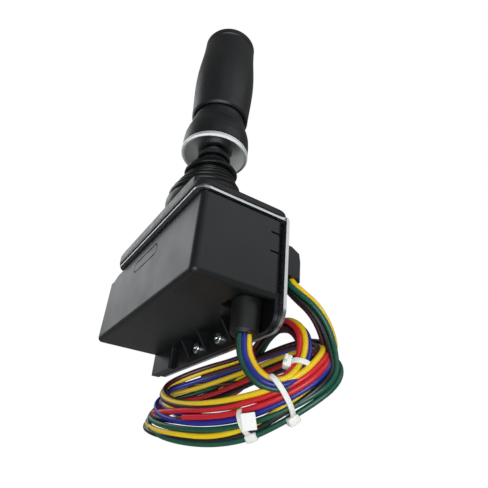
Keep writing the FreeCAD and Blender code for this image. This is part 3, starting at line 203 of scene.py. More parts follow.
# Blank label: width, length, thickness, rounding, curl and tip in degrees. Its top is a point of the hank,
# as angle, share and column, moved towards the camera and to the camera's right; its middle lies below that.
# It is cut into so many strips each way, so that it can curl.
LABEL_WIDE = 5.6 * MM
LABEL_LONG = 6.8 * MM
LABEL_FILM = 0.3 * MM
LABEL_EDGE = 0.15 * MM
LABEL_CURL = 12
LABEL_TIP = 8
LABEL_TOP = (284, 0.26, 2.0)
LABEL_FORWARD = 4.5 * MM
LABEL_RIGHT = 1.6 * MM
LABEL_MIDDLE = 3.6 * MM
LABEL_CUTS = 12

# Values between which most of a noise texture lies
NOISE_LOW = 0.3
NOISE_HIGH = 0.7

# A wire's darker tone and the housing's lighter one, as multiples of their colours
WIRE_SHADE = 0.82
HOUSING_BLOOM = 1.25
# Plating and handling change a metal's tone over this many mm
METAL_BLOOM = (9.0, 9.0, 9.0)

# Lock ring: distance between the facing tool's marks, drawn wide so that they show, and the radii between
# which its bright faces turn into the satin rim, rougher by this much
RING_MARKS = 0.22 * MM
RING_BRIGHT_TO = 18.0 * MM
RING_SATIN_FROM = 18.5 * MM
RING_SATIN = 0.3

# Studio: floor, lights as name, place, size and power, their aim and tint, and the strength of the white
# air as a light and in view
FLOOR_LEVEL = -0.5
FLOOR_SIZE = 8
LIGHTS = (
    ("window_left", (-0.36, 0.6, 0.42), 0.6, 1.8),
    ("front_low", (-0.38, -0.68, -0.5), 0.8, 13.5),
    ("front_high", (-0.14, -0.86, 0.54), 0.9, 1.1),
    ("front_right", (0.36, -0.62, 0.42), 0.6, 1.1),
)
LIGHT_AIM = Vector((0.0, 0.0, 0.03))
LIGHT_TINT = (0.94, 0.98, 1.0)
AIR_AS_LIGHT = 0.2
AIR_IN_VIEW = 1.0


def linear(code):
    """sRGB hex colour as linear RGBA."""
    channels = [int(code[i:i + 2], 16) / 255 for i in (0, 2, 4)]
    return [c / 12.92 if c <= 0.04045 else ((c + 0.055) / 1.055) ** 2.4 for c in channels] + [1.0]


class JoystickSizes(bpy.types.PropertyGroup):
    wire_diameter: bpy.props.FloatProperty(
        name="Wire diameter", description="Outside diameter of one insulated wire",
        default=2.4 * MM, unit="LENGTH")
    bundle_radius: bpy.props.FloatProperty(
        name="Bundle radius", description="Radius of the ring of wires in a bundle",
        default=2.45 * MM, unit="LENGTH")
    tie_width: bpy.props.FloatProperty(
        name="Tie width", description="Width of a cable tie's band", default=2.2 * MM, unit="LENGTH")
    tie_thickness: bpy.props.FloatProperty(
        name="Tie thickness", description="Thickness of a cable tie's band", default=0.9 * MM, unit="LENGTH")
    gaiter_wall: bpy.props.FloatProperty(
        name="Gaiter wall", description="Wall thickness of the rubber gaiter",
        default=1.1 * MM, unit="LENGTH")
    lens: bpy.props.FloatProperty(
        name="Lens", description="Focal length on a 36 mm sensor", default=33.03, unit="CAMERA")


class JoystickColours(bpy.types.PropertyGroup):
    yellow: bpy.props.FloatVectorProperty(
        name="Yellow wire", description="Insulation of the yellow wires", subtype="COLOR", size=4,
        default=linear("f3cc0c"))
    red: bpy.props.FloatVectorProperty(
        name="Red wire", description="Insulation of the red wires", subtype="COLOR", size=4,
        default=linear("cf1a26"))
    blue: bpy.props.FloatVectorProperty(
        name="Blue wire", description="Insulation of the blue wires", subtype="COLOR", size=4,
        default=linear("18228a"))
    green: bpy.props.FloatVectorProperty(
        name="Green wire", description="Insulation of the green wires", subtype="COLOR", size=4,
        default=linear("06503c"))
    black: bpy.props.FloatVectorProperty(
        name="Black wire", description="Insulation of the black wires", subtype="COLOR", size=4,
        default=linear("0c0c0e"))
    maroon: bpy.props.FloatVectorProperty(
        name="Brown wire", description="Insulation of the brown wires", subtype="COLOR", size=4,
        default=linear("401217"))
    plastic: bpy.props.FloatVectorProperty(
        name="Housing", description="Moulded housing", subtype="COLOR", size=4,
        default=linear("0c0d0f"))


# Finishes

def add(tree, kind, settings=None, inputs=None):
    """One node with its settings; an input is a value or another node's output to link."""
    node = tree.nodes.new(kind)
    for name, value in (settings or {}).items():
        setattr(node, name, value)
    for name, value in (inputs or {}).items():
        if isinstance(value, bpy.types.NodeSocket):
            tree.links.new(value, node.inputs[name])
        else:
            node.inputs[name].default_value = value
    return node


def new_surface(name, constants):
    """Material with one principled shader whose constant sockets are set."""
    mat = bpy.data.materials.new(name)
    mat.use_nodes = True
    tree = mat.node_tree
    tree.nodes.clear()
    shader = add(tree, "ShaderNodeBsdfPrincipled", inputs=constants)
    add(tree, "ShaderNodeOutputMaterial", inputs={"Surface": shader.outputs["BSDF"]})
    return mat, tree, shader


def feed(tree, shader, outputs):
    """Links node outputs to the shader's inputs by name."""
    for name, output in outputs.items():
        tree.links.new(output, shader.inputs[name])


def noise(tree, cell_mm, detail):
    """Noise in object coordinates whose cells have the given size in mm along each axis."""
    place = add(tree, "ShaderNodeTexCoord")
    space = add(tree, "ShaderNodeMapping", inputs={
        "Vector": place.outputs["Object"], "Scale": [1 / (length * MM) for length in cell_mm]})
    cells = add(tree, "ShaderNodeTexNoise", inputs={
        "Vector": space.outputs["Vector"], "Scale": 1.0, "Detail": detail})
    return cells.outputs[0]


def tone_between(tree, factor, low, high):
    """Colour between two tones: a colour mix has its factor at input 0 and its colours at inputs 6 and 7."""
    mix = add(tree, "ShaderNodeMix", {"data_type": "RGBA"}, {0: factor, 6: low, 7: high})
    return mix.outputs[2]


def gloss_between(tree, factor, rough):
    """Roughness between two values, as the noise goes from low to high."""
    gloss = add(tree, "ShaderNodeMapRange", inputs={
        "Value": factor, "From Min": NOISE_LOW, "From Max": NOISE_HIGH,
        "To Min": rough[0], "To Max": rough[1]})
    return gloss.outputs["Result"]


def relief(tree, height, strength, depth_mm):
    """Normal of a fine relief."""
    bump = add(tree, "ShaderNodeBump", inputs={
        "Height": height, "Strength": strength, "Distance": depth_mm * MM})
    return bump.outputs["Normal"]


def moulded(name, low, high, patch_mm, rough, grain_mm, depth_mm, constants):
    """Moulded plastic or rubber: slow drift of tone and gloss, and the tool's fine texture as relief."""
    mat, tree, shader = new_surface(name, constants)
    drift = noise(tree, [patch_mm] * 3, detail=4.0)
    grain = noise(tree, [grain_mm] * 3, detail=2.0)
    feed(tree, shader, {
        "Base Color": tone_between(tree, drift, low, high),
        "Roughness": gloss_between(tree, drift, rough),
        "Normal": relief(tree, grain, strength=0.6, depth_mm=depth_mm)})
    return mat


def worked_metal(name, low, high, cell_mm, rough, depth_mm):
    """Sheet, plated or drawn metal: fine marks stretched along the working direction, with drifting tone."""
    mat, tree, shader = new_surface(name, {"Metallic": 1.0})
    marks = noise(tree, cell_mm, detail=5.0)
    bloom = noise(tree, METAL_BLOOM, detail=3.0)
    feed(tree, shader, {
        "Base Color": tone_between(tree, bloom, low, high),
        "Roughness": gloss_between(tree, marks, rough),
        "Normal": relief(tree, marks, strength=0.5, depth_mm=depth_mm)})
    return mat


def turned_aluminium():
    """Clear anodised aluminium, faced on a lathe: rings about the lever's axis smear the light round it."""
    mat, tree, shader = new_surface("turned_aluminium", {
        "Metallic": 1.0, "Anisotropic": 0.75, "Base Color": linear("f4f5f6")})
    place = add(tree, "ShaderNodeTexCoord")
    flat = add(tree, "ShaderNodeVectorMath", {"operation": "MULTIPLY"}, {
        0: place.outputs["Object"], 1: (1.0, 1.0, 0.0)})
    radius = add(tree, "ShaderNodeVectorMath", {"operation": "LENGTH"}, {0: flat.outputs["Vector"]})
    split = add(tree, "ShaderNodeSeparateXYZ", inputs={"Vector": place.outputs["Object"]})
    along = add(tree, "ShaderNodeMath", {"operation": "ADD"}, {
        0: radius.outputs["Value"], 1: split.outputs["Z"]})
    groove = add(tree, "ShaderNodeMath", {"operation": "MULTIPLY"}, {
        0: along.outputs["Value"], 1: 1 / RING_MARKS})
    marks = add(tree, "ShaderNodeTexNoise", {"noise_dimensions": "1D"}, {
        "W": groove.outputs["Value"], "Detail": 3.0})
    satin = add(tree, "ShaderNodeMapRange", inputs={
        "Value": radius.outputs["Value"], "From Min": RING_BRIGHT_TO, "From Max": RING_SATIN_FROM,
        "To Min": 0.0, "To Max": RING_SATIN})
    rough = add(tree, "ShaderNodeMath", {"operation": "ADD"}, {
        0: gloss_between(tree, marks.outputs[0], (0.16, 0.32)), 1: satin.outputs["Result"]})
    round_it = add(tree, "ShaderNodeTangent", {"direction_type": "RADIAL", "axis": "Z"})
    feed(tree, shader, {
        "Roughness": rough.outputs["Value"], "Tangent": round_it.outputs["Tangent"],
        "Normal": relief(tree, marks.outputs[0], strength=0.3, depth_mm=0.01)})
    return mat


def insulation(name, colour):
    """Extruded PVC: satin gloss with the faint drag marks and handling scuffs of hook-up wire."""
    dark = [c * WIRE_SHADE for c in colour[:3]] + [1.0]
    return moulded(name, dark, list(colour), patch_mm=6.0, rough=(0.3, 0.42), grain_mm=0.7, depth_mm=0.02,
                   constants={"IOR": 1.53, "Coat Weight": 0.12, "Coat Roughness": 0.25})


def moulded_finishes(colours):
    """Finishes of the plastic, rubber and film slots, and the gaiter's own, by name."""
    plastic = list(colours.plastic)
    pale = [min(1.0, c * HOUSING_BLOOM) for c in plastic[:3]] + [1.0]
    rows = {
        # Glass-filled nylon out of a spark-eroded mould: even satin black with a 0.35 mm grain
        "black_nylon": dict(
            low=plastic, high=pale, patch_mm=22.0, rough=(0.36, 0.44), grain_mm=0.35, depth_mm=0.03,
            constants={"IOR": 1.44}),
        # Nitrile rubber: matt, greyer where it has been handled and flexed
        "black_rubber": dict(
            low=linear("0b0b0c"), high=linear("131314"), patch_mm=7.0, rough=(0.42, 0.56), grain_mm=0.6,
            depth_mm=0.05, constants={"IOR": 1.45}),
        # Thin flexing rubber of the bellows: blacker and glossier than the moulded rim
        "gaiter_rubber": dict(
            low=linear("070708"), high=linear("0d0d0e"), patch_mm=5.0, rough=(0.26, 0.42), grain_mm=0.5,
            depth_mm=0.04, constants={"IOR": 1.36}),
        # Soft-touch thermoplastic of the grip: velvety satin, finer grain than the housing
        "black_soft_touch": dict(
            low=linear("0d0e10"), high=linear("131416"), patch_mm=16.0, rough=(0.36, 0.46), grain_mm=0.25,
            depth_mm=0.02, constants={"IOR": 1.45}),
        # Acetal: waxy off-white, smooth
        "acetal": dict(
            low=linear("dcdad2"), high=linear("e8e6df"), patch_mm=10.0, rough=(0.3, 0.4), grain_mm=0.5,
            depth_mm=0.01, constants={"IOR": 1.48}),
        # Moulding compound of electronic parts: dull charcoal
        "component_black": dict(
            low=linear("1c1d20"), high=linear("2a2b2f"), patch_mm=3.0, rough=(0.4, 0.6), grain_mm=0.2,
            depth_mm=0.02, constants={"IOR": 1.55}),
        # Glass laminate under green solder mask: wet-looking, uneven green
        "board_laminate": dict(
            low=linear("174a2b"), high=linear("226a3d"), patch_mm=4.0, rough=(0.22, 0.34), grain_mm=0.5,
            depth_mm=0.02, constants={"IOR": 1.52, "Coat Weight": 0.3}),
        # Label film: clean white with a soft sheen
        "label_film": dict(
            low=linear("f1f1ee"), high=linear("fbfbf9"), patch_mm=3.0, rough=(0.35, 0.5), grain_mm=0.3,
            depth_mm=0.01, constants={"IOR": 1.46}),
        # Natural polyamide of cable ties: milky, lets light in, smooth with a slight flow texture
        "natural_nylon": dict(
            low=linear("cdccc8"), high=linear("dddcd8"), patch_mm=4.0, rough=(0.2, 0.3), grain_mm=0.8,
            depth_mm=0.02, constants={"IOR": 1.45, "Transmission Weight": 0.86}),
    }
    return {name: moulded(name, **row) for name, row in rows.items()}


def metal_finishes():
    """Finishes of the metal slots by name."""
    rows = {
        # Zinc-plated cold-rolled sheet, rolled along the flange: pale grey with long faint streaks
        "zinc_plated_steel": dict(
            low=linear("b4b7ba"), high=linear("cfd1d3"), cell_mm=(0.5, 6.0, 0.5), rough=(0.24, 0.34),
            depth_mm=0.001),
        # Nickel-plated screws and nuts: small sharp glints
        "bright_steel": dict(
            low=linear("c6c8ca"), high=linear("dcdee0"), cell_mm=(0.3, 0.3, 0.3), rough=(0.16, 0.3),
            depth_mm=0.01),
        # Die-cast hub: dull, slightly pebbled grey
        "cast_aluminium": dict(
            low=linear("8d9094"), high=linear("a9acb0"), cell_mm=(0.6, 0.6, 0.6), rough=(0.45, 0.62),
            depth_mm=0.05),
        # Sintered bushes: warm brown-gold, dry
        "bronze": dict(
            low=linear("8f6a38"), high=linear("b08748"), cell_mm=(0.4, 0.4, 0.4), rough=(0.35, 0.5),
            depth_mm=0.03),
        # Drawn spring wire: grey with an oily sheen
        "spring_steel": dict(
            low=linear("6f7276"), high=linear("95989c"), cell_mm=(0.3, 0.3, 0.3), rough=(0.3, 0.45),
            depth_mm=0.02),
    }
    surfaces = {name: worked_metal(name, **row) for name, row in rows.items()}
    surfaces["turned_aluminium"] = turned_aluminium()
    return surfaces


def finishes(colours):
    """The finish of each material slot of the record, and the gaiter's own, by name."""
    return {**moulded_finishes(colours), **metal_finishes()}


# Pieces

def deselect_all():
    if bpy.context.object and bpy.context.object.mode != "OBJECT":
        bpy.ops.object.mode_set(mode="OBJECT")
    bpy.ops.object.select_all(action="DESELECT")


def finish_piece(obj, name, mat, body, nodes):
    """Names the piece, gives it its finish and body, and hides the frame nodes that it stands for."""
    obj.name = name
    obj.data.name = name
    obj.data.materials.clear()
    obj.data.materials.append(mat)
    if body:
        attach(obj, body)
    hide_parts(*nodes)
    return obj


def apply_modifier(obj, kind, **settings):
    modifier = obj.modifiers.new(kind.title(), kind)
    for name, value in settings.items():
        setattr(modifier, name, value)
    bpy.context.view_layer.objects.active = obj
    bpy.ops.object.modifier_apply(modifier=modifier.name)


def place_mesh(obj, place):
    """Moves the mesh to its place and leaves the object at the origin."""
    deselect_all()
    obj.select_set(True)
    bpy.context.view_layer.objects.active = obj
    obj.matrix_world = place
    bpy.ops.object.transform_apply(location=True, rotation=True, scale=True)


def join_pieces(pieces):
    """Joins the pieces into the first one."""
    deselect_all()
    for piece in pieces:
        piece.select_set(True)
    bpy.context.view_layer.objects.active = pieces[0]
    bpy.ops.object.join()
    return pieces[0]


def turn_faces_out():
    """Turns every face of the active mesh outwards."""
    bpy.ops.object.mode_set(mode="EDIT")
    bpy.ops.mesh.select_all(action="SELECT")
    bpy.ops.mesh.normals_make_consistent(inside=False)
    bpy.ops.object.mode_set(mode="OBJECT")


def drawn_lines(name, lines, kind="NURBS", steps=12):
    """Curve of one or more lines through their points, still without thickness."""
    data = bpy.data.curves.new(name, "CURVE")
    data.dimensions = "3D"
    data.resolution_u = steps
    for points in lines:
        line = data.splines.new(kind)
        line.points.add(len(points) - 1)
        for knot, place in zip(line.points, points):
            knot.co = (*place, 1)
        line.order_u = 3
        line.use_endpoint_u = True
    obj = bpy.data.objects.new(name, data)
    bpy.context.collection.objects.link(obj)
    return obj


def thicken(curve, radius, roundness):
    """Gives drawn lines a round section and closed ends."""
    curve.data.bevel_depth = radius
    curve.data.bevel_resolution = roundness
    curve.data.use_fill_caps = True


# Gaiter

def gaiter_boot(wall):
    """Bellows drawn up ring by ring, each fold leaning and shifted as the squashed rubber does."""
    deselect_all()
    radius, height, lean, shift = GAITER_ROWS[0]
    bpy.ops.mesh.primitive_circle_add(vertices=GAITER_SIDES, radius=radius * MM, location=(0, 0, height * MM))
    boot = bpy.context.object
    bpy.ops.object.transform_apply(location=True, rotation=True, scale=True)
    away = -CAMERA_RIGHT
    bpy.ops.object.mode_set(mode="EDIT")
    bpy.ops.mesh.select_all(action="SELECT")
    for row in GAITER_ROWS[1:]:
        step = Vector((away.x * (row[3] - shift), away.y * (row[3] - shift), row[1] - height)) * MM
        bpy.ops.mesh.extrude_region_move(TRANSFORM_OT_translate={"value": step})
        centre = (away.x * row[3] * MM, away.y * row[3] * MM, row[1] * MM)
        grow = row[0] / radius
        bpy.ops.transform.resize(value=(grow, grow, 1), center_override=centre)
        bpy.ops.transform.rotate(value=math.radians(row[2] - lean), orient_axis="Y", center_override=centre)
        radius, height, lean, shift = row
    turn_faces_out()
    ripple = bpy.data.textures.new("gaiter_ripple", "CLOUDS")
    ripple.noise_scale = RIPPLE_SIZE
    ripple.noise_depth = 1
    apply_modifier(boot, "DISPLACE", texture=ripple, texture_coords="LOCAL", strength=RIPPLE_DEPTH,
                   mid_level=0.5)
    apply_modifier(boot, "SOLIDIFY", thickness=wall, offset=-1)
    apply_modifier(boot, "SUBSURF", levels=1, render_levels=1)
    boot = join_pieces([boot, rim_bead()])
    turn_faces_out()
    bpy.ops.object.shade_smooth()
    return boot


def rim_bead():
    """Thick bead of the gaiter's rim along the left of the flange."""
    rim = frame["nodes"]["gaiter_rim"]
    corners = [rim.matrix_world @ Vector(corner) for corner in rim.bound_box]
    left = min(corner.x for corner in corners)
    front = min(corner.y for corner in corners)
    back = max(corner.y for corner in corners)
    deselect_all()
    middle = (left + BEAD_INSET, (front + back) / 2 + BEAD_BACK, BEAD_MIDDLE)
    bpy.ops.mesh.primitive_cube_add(size=1, location=middle)
    bead = bpy.context.object
    bead.scale = (BEAD_WIDE, back - front - BEAD_SHORTER, BEAD_HIGH)
    bpy.ops.object.transform_apply(location=True, rotation=True, scale=True)
    bpy.ops.object.mode_set(mode="EDIT")
    bpy.ops.mesh.select_all(action="SELECT")
    bpy.ops.mesh.subdivide(number_cuts=BEAD_CUTS)
    bpy.ops.object.mode_set(mode="OBJECT")
    apply_modifier(bead, "SUBSURF", levels=2, render_levels=2)
    return bead


# Spring of the lock ring

def lock_coil():
    """Helix with closed end turns, between the skirt's web and the lever's core."""
    steps = round(SPRING_TURNS * SPRING_STEPS)
    points = []
    for i in range(steps + 1):
        turn = SPRING_TURNS * i / steps
        open_share = (turn - SPRING_CLOSED) / (SPRING_TURNS - 2 * SPRING_CLOSED)
        height = SPRING_LOW + (SPRING_HIGH - SPRING_LOW) * min(max(open_share, 0), 1)
        angle = math.tau * turn
        points.append((SPRING_RADIUS * math.cos(angle), SPRING_RADIUS * math.sin(angle), height))
    deselect_all()
    coil = drawn_lines("lock_coil", [points], kind="POLY")
    thicken(coil, SPRING_WIRE / 2, roundness=3)
    coil.select_set(True)
    bpy.context.view_layer.objects.active = coil
    bpy.ops.object.convert(target="MESH")
    coil = bpy.context.object
    bpy.ops.object.mode_set(mode="EDIT")
    bpy.ops.mesh.select_all(action="SELECT")
    bpy.ops.mesh.remove_doubles(threshold=SPRING_WELD)
    turn_faces_out()
    bpy.ops.object.shade_smooth()
    return coil


# Wires

def bundle_frames(route):
    """Directions across the route at each point, carried along it without twist."""
    points = [Vector(p) for p in route]
    across = CAMERA_RIGHT.copy()
    frames = []
    for i, point in enumerate(points):
        ahead = points[min(i + 1, len(points) - 1)] - points[max(i - 1, 0)]
        ahead.normalize()
        across = (across - ahead * across.dot(ahead)).normalized()
        frames.append((point, across.copy(), ahead.cross(across)))
    return frames


def beside(route, angle, radius, twist):
    """The route moved sideways to one place in its bundle, which turns by the twist from end to end."""
    moved = []
    for i, (point, across, near) in enumerate(bundle_frames(route)):
        turn = math.radians(angle + twist * i / (len(route) - 1))
        moved.append(point + (across * math.cos(turn) + near * math.sin(turn)) * radius)
    return moved


def between(before, start, end, after, t):
    """Smooth value at the share t of the way from start to end, heeding the values before and after."""
    bend = (2 * before - 5 * start + 4 * end - after) * t ** 2
    sway = (3 * start - before - 3 * end + after) * t ** 3
    return 0.5 * (2 * start + (end - before) * t + bend + sway)


def eighths(rows, angle):
    """Smooth values between the rows given for each eighth of a turn."""
    place = angle / 45
    k = math.floor(place)
    near = (rows[(k + step) % 8] for step in (-1, 0, 1, 2))
    return [between(*values, place - k) for values in zip(*near)]


def hank_point(angle, share, column):
    """Point of the hank at an angle in degrees, by its share from the top strand down and column in mm."""
    turn = math.radians(angle)
    top, bottom = eighths(HANK_TOP, angle), eighths(HANK_BOTTOM, angle)
    up = (top[0] + (bottom[0] - top[0]) * share) * MM
    out = (top[1] + (bottom[1] - top[1]) * share + column) * MM
    along = COIL_LONG * ((COIL_HALF_L + out) * math.cos(turn))
    return COIL_CENTRE + along + COIL_SHORT * ((COIL_HALF_W + out) * math.sin(turn)) + COIL_NORMAL * up


def coil_run(start, end, first, passes):
    """Points of a wire's turns, in its first pass's place until past the first angle and then in the next."""
    count = max(FEWEST_POINTS, round(abs(end - start) / 360 * POINTS_PER_TURN))
    half_turn = math.copysign(180, end - start)
    points = []
    for i in range(count + 1):
        angle = start + (end - start) * i / count
        halves = max(0.0, (angle - first) / half_turn)
        now = min(int(halves), len(passes) - 1)
        after = min(now + 1, len(passes) - 1)
        change = min(max((halves - now - KEEPS_PLACE) / CHANGES_PLACE, 0), 1)
        change = change * change * (3 - 2 * change)
        share, column = (a + (b - a) * change for a, b in zip(passes[now], passes[after]))
        points.append(hank_point(angle, share, column))
    return points


def measured(curve):
    """Length of a curve that has no bevel yet."""
    mesh = bpy.data.meshes.new_from_object(curve)
    ends = [[mesh.vertices[v].co for v in edge.vertices] for edge in mesh.edges]
    length = sum((a - b).length for a, b in ends)
    bpy.data.meshes.remove(mesh)
    return length


def strands(name, points, mat, spread, nodes):
    """Stripped end of a wire: a few copper strands that have sprung apart."""
    ahead = (points[-1] - points[-2]).normalized()
    lines = []
    for i in range(STRANDS_AROUND + 1):
        turn = math.tau * i / STRANDS_AROUND
        reach = spread if i < STRANDS_AROUND else 0
        out = (CAMERA_RIGHT * math.cos(turn) + COIL_NORMAL * math.sin(turn)) * reach
        line = [points[-1] + ahead * along * MM + out * away for along, away in STRAND_POINTS]
        line[-1] += ahead * STRAND_STEP * (i % 3) * MM
        lines.append(line)
    obj = drawn_lines(name, lines)
    thicken(obj, STRAND_RADIUS, roundness=2)
    return finish_piece(obj, name, mat, "base", nodes)


def wire(name, points, mat, radius, nodes):
    """One insulated wire as a smooth curve through its control points."""
    obj = drawn_lines(name, [points], steps=WIRE_STEPS)
    bpy.context.view_layer.update()
    length = measured(obj)
    thicken(obj, radius, roundness=4)
    finish_piece(obj, name, mat, "base", nodes)
    return obj


# Cable ties and label

def tie(name, centre, along, out, half_out, half_side, sizes, node):
    """Cable tie: oval band, ratchet head, and the cut tail beside it."""
    deselect_all()
    bpy.ops.mesh.primitive_cylinder_add(vertices=TIE_SIDES, radius=1, depth=sizes.tie_width,
                                        end_fill_type="NOTHING")
    band = bpy.context.object
    band.scale = (half_out, half_side, 1)
    bpy.ops.object.transform_apply(location=True, rotation=True, scale=True)
    apply_modifier(band, "SOLIDIFY", thickness=sizes.tie_thickness, offset=1)
    apply_modifier(band, "BEVEL", width=TIE_EDGE, segments=2, limit_method="ANGLE")
    end = half_out + sizes.tie_thickness / 2
    parts = [band]
    for size, place, edge in (
            (TIE_HEAD, (end + TIE_HEAD_OUT, 0, 0), TIE_HEAD_EDGE),
            ((*TIE_TAIL, sizes.tie_width), (end + TIE_TAIL_OUT, TIE_TAIL_SIDE, 0), TIE_EDGE)):
        deselect_all()
        bpy.ops.mesh.primitive_cube_add(size=1, location=place)
        block = bpy.context.object
        block.scale = size
        bpy.ops.object.transform_apply(location=True, rotation=True, scale=True)
        apply_modifier(block, "BEVEL", width=edge, segments=3, limit_method="ANGLE")
        parts.append(block)
    band = join_pieces(parts)
    bpy.ops.object.shade_smooth_by_angle(angle=math.radians(TIE_SMOOTH))
    side = along.cross(out).normalized()
    out = side.cross(along)
    turn = Matrix((out, side, along)).transposed().to_4x4()
    place_mesh(band, Matrix.Translation(centre) @ turn)
    # The ties keep the frame's own plain nylon, which has this name
    nylon = bpy.data.materials["natural_nylon"]
    return finish_piece(band, name, nylon, "base", (node,))


def blank_label(top, wide, down, out):
    """Blank label: a leaf of film that hangs at the tie, slightly curled."""
    deselect_all()
    bpy.ops.mesh.primitive_grid_add(x_subdivisions=LABEL_CUTS, y_subdivisions=LABEL_CUTS, size=1)
    leaf = bpy.context.object
    leaf.scale = (LABEL_WIDE, LABEL_LONG, 1)
    bpy.ops.object.transform_apply(location=True, rotation=True, scale=True)
    apply_modifier(leaf, "SIMPLE_DEFORM", deform_method="BEND", deform_axis="X",
                   angle=math.radians(LABEL_CURL))
    apply_modifier(leaf, "SOLIDIFY", thickness=LABEL_FILM, offset=0)
    apply_modifier(leaf, "BEVEL", width=LABEL_EDGE, segments=2, limit_method="ANGLE")
    apply_modifier(leaf, "SUBSURF", levels=1, render_levels=1)
    bpy.ops.object.shade_smooth()
    turn = Matrix((wide, -down, out)).transposed().to_4x4()
    place_mesh(leaf, Matrix.Translation(top + down * LABEL_MIDDLE) @ turn)
    # The label keeps the frame's own plain film, which has this name
    film = bpy.data.materials["label_film"]
    return finish_piece(leaf, "flag_label_film", film, "base", ("flag_label",))


# Operators

class JOYSTICK_OT_finishes(bpy.types.Operator):
    """Give every frame node the finish of its material slot"""
    bl_idname = "joystick.finishes"
    bl_label = "Finishes"

    def execute(self, context):
        surfaces = finishes(context.scene.joystick_colours)
        slots = {part["node"]: part["material_slot"] for part in frame["record"]["subparts"]}
        for name, obj in frame["nodes"].items():
            # The plain leads and coil have no finish of their own, as single wires stand for them
            mat = surfaces.get(slots[name], surfaces["black_nylon"])
            obj.data.materials.clear()
            obj.data.materials.append(mat)
        return {"FINISHED"}


class JOYSTICK_OT_wires(bpy.types.Operator):
    """Run the wires out of the gland and the side block and wind them into the hank"""
    bl_idname = "joystick.wires"
    bl_label = "Wires"

    def execute(self, context):
        sizes, colours = context.scene.joystick_sizes, context.scene.joystick_colours
        radius = sizes.wire_diameter / 2
        # Bare copper: warm pinkish glints
        copper = worked_metal("bare_copper", linear("a8643c"), linear("d09468"), cell_mm=(0.2, 0.2, 0.2),
                              rough=(0.25, 0.4), depth_mm=0.002)
        for group, route, twist, rows, joins, first in BUNDLES:
            nodes = (group + "_lead", "wire_coil")
            for i, (colour, angle, passes, end) in enumerate(rows):
                turns = coil_run(joins, end, first, passes)
                points = beside(route, angle, sizes.bundle_radius, twist) + turns
                pvc = "pvc_" + colour
                mat = bpy.data.materials.get(pvc) or insulation(pvc, getattr(colours, colour))
                name = f"{group}_wire_{i + 1}_{colour}"
                if (group, colour) == STRIPPED_END:
                    strands(name + "_strands", turns, copper, radius * STRAND_SPREAD, nodes)
                wire(name, points, mat, radius, nodes)
        return {"FINISHED"}


class JOYSTICK_OT_ties(bpy.types.Operator):
    """Fasten the three cable ties round the wires and hang the blank label"""
    bl_idname = "joystick.ties"
    bl_label = "Cable ties and label"

    def execute(self, context):
        sizes = context.scene.joystick_sizes
        for name, node, angle, share, high, wide, lean in HANK_TIES:
            here, ahead = hank_point(angle, share, 0), hank_point(angle + TIE_AHEAD, share, 0)
            along = Matrix.Rotation(math.radians(lean), 3, COIL_NORMAL) @ (ahead - here).normalized()
            tie(name, here, along, -COIL_NORMAL, high * MM, wide * MM, sizes, node)
        start, end = (Vector(GLAND_ROUTE[i]) for i in LOOP_TIE_POINTS)
        centre = start + (end - start) * LOOP_TIE_SHARE
        along = (end - start).normalized()
        tie("loop_tie_band", centre, along, -CAMERA_RIGHT, LOOP_TIE_RADIUS, LOOP_TIE_RADIUS, sizes,
            "loop_tie")
        tip = math.radians(LABEL_TIP)
        down = CAMERA_DOWN * math.cos(tip) + CAMERA_RIGHT * math.sin(tip)
        top = hank_point(*LABEL_TOP) - CAMERA_FORWARD * LABEL_FORWARD + CAMERA_RIGHT * LABEL_RIGHT
        blank_label(top, down.cross(CAMERA_FORWARD), down, -CAMERA_FORWARD)
        return {"FINISHED"}


class JOYSTICK_OT_gaiter(bpy.types.Operator):
    """Draw up the rubber bellows between the rim and the lever's neck"""
    bl_idname = "joystick.gaiter"
    bl_label = "Gaiter"

    def execute(self, context):
        boot = gaiter_boot(context.scene.joystick_sizes.gaiter_wall)
        rubber = bpy.data.materials["gaiter_rubber"]
        finish_piece(boot, "gaiter_boot", rubber, None, ("gaiter_bellows",))
        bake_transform(boot)
        return {"FINISHED"}


class JOYSTICK_OT_lock_spring(bpy.types.Operator):
    """Wind the spring that presses the lock ring down"""
    bl_idname = "joystick.lock_spring"
    bl_label = "Lock spring"

    def execute(self, context):
        coil = lock_coil()
        # The spring keeps the frame's own plain steel, which has this name
        steel = bpy.data.materials["spring_steel"]
        finish_piece(coil, "lock_coil", steel, None, ("lock_spring",))
        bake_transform(coil)
        return {"FINISHED"}


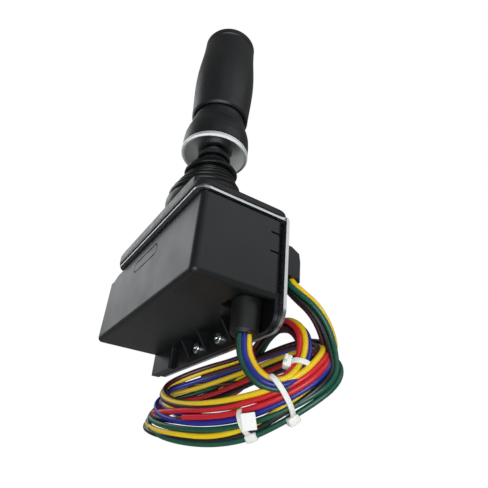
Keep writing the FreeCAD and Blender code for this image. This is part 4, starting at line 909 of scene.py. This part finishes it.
class JOYSTICK_OT_stage(bpy.types.Operator):
    """Set the pale floor, the soft lights and the photograph's camera"""
    bl_idname = "joystick.stage"
    bl_label = "Studio"

    def execute(self, context):
        scene = context.scene
        scene.view_settings.view_transform = "Standard"
        camera = bpy.data.objects.new("Camera", bpy.data.cameras.new("Camera"))
        camera.data.sensor_width = 36
        camera.data.lens = scene.joystick_sizes.lens
        camera.data.clip_start = 5 * MM
        turn = Matrix((CAMERA_RIGHT, -CAMERA_DOWN, -CAMERA_FORWARD)).transposed().to_4x4()
        camera.matrix_world = Matrix.Translation(CAMERA_PLACE) @ turn
        scene.collection.objects.link(camera)
        scene.camera = camera
        deselect_all()
        bpy.ops.mesh.primitive_plane_add(size=FLOOR_SIZE, location=(0, 0, FLOOR_LEVEL))
        floor = context.object
        floor.name = "floor"
        # Matt floor paint: even pale grey, rolled on
        paint = moulded("painted_floor", linear("e9e9e7"), linear("f2f2f0"), patch_mm=60.0, rough=(0.6, 0.7),
                        grain_mm=2.0, depth_mm=0.05, constants={})
        floor.data.materials.append(paint)
        world = bpy.data.worlds.new("studio_air")
        world.use_nodes = True
        # White where the camera sees it, softer as a light, as between a studio's white walls
        air = world.node_tree
        rays = add(air, "ShaderNodeLightPath")
        strength = add(air, "ShaderNodeMix", {"data_type": "FLOAT"}, {
            0: rays.outputs["Is Camera Ray"], 2: AIR_AS_LIGHT, 3: AIR_IN_VIEW})
        air.nodes["Background"].inputs["Color"].default_value = (1, 1, 1, 1)
        air.links.new(strength.outputs[0], air.nodes["Background"].inputs["Strength"])
        scene.world = world
        for name, place, size, power in LIGHTS:
            light = bpy.data.objects.new(name, bpy.data.lights.new(name, "AREA"))
            light.data.size = size
            light.data.energy = power
            light.data.color = LIGHT_TINT
            light.location = place
            light.rotation_euler = (Vector(place) - LIGHT_AIM).to_track_quat("Z", "Y").to_euler()
            scene.collection.objects.link(light)
        return {"FINISHED"}


class JOYSTICK_PT_panel(bpy.types.Panel):
    """Sidebar panel that lists the joystick's sizes, colours and steps"""
    bl_label = "Joystick"
    bl_idname = "JOYSTICK_PT_panel"
    bl_space_type = "VIEW_3D"
    bl_region_type = "UI"
    bl_category = "Joystick"

    def draw(self, context):
        for group in (context.scene.joystick_sizes, context.scene.joystick_colours):
            box = self.layout.box()
            for name in group.__annotations__:
                box.prop(group, name)
        for operator in OPERATORS:
            self.layout.operator(operator.bl_idname)


OPERATORS = (JOYSTICK_OT_stage, JOYSTICK_OT_wires, JOYSTICK_OT_finishes, JOYSTICK_OT_gaiter,
             JOYSTICK_OT_lock_spring, JOYSTICK_OT_ties)
CLASSES = (JoystickSizes, JoystickColours) + OPERATORS + (JOYSTICK_PT_panel,)


def register():
    for cls in CLASSES:
        bpy.utils.register_class(cls)
    bpy.types.Scene.joystick_sizes = bpy.props.PointerProperty(type=JoystickSizes)
    bpy.types.Scene.joystick_colours = bpy.props.PointerProperty(type=JoystickColours)


def unregister():
    del bpy.types.Scene.joystick_sizes
    del bpy.types.Scene.joystick_colours
    for cls in reversed(CLASSES):
        bpy.utils.unregister_class(cls)


def main():
    register()
    bpy.ops.joystick.stage()
    bpy.ops.joystick.wires()
    bpy.ops.joystick.finishes()
    bpy.ops.joystick.gaiter()
    bpy.ops.joystick.lock_spring()
    bpy.ops.joystick.ties()


if __name__ == "__main__":
    main()
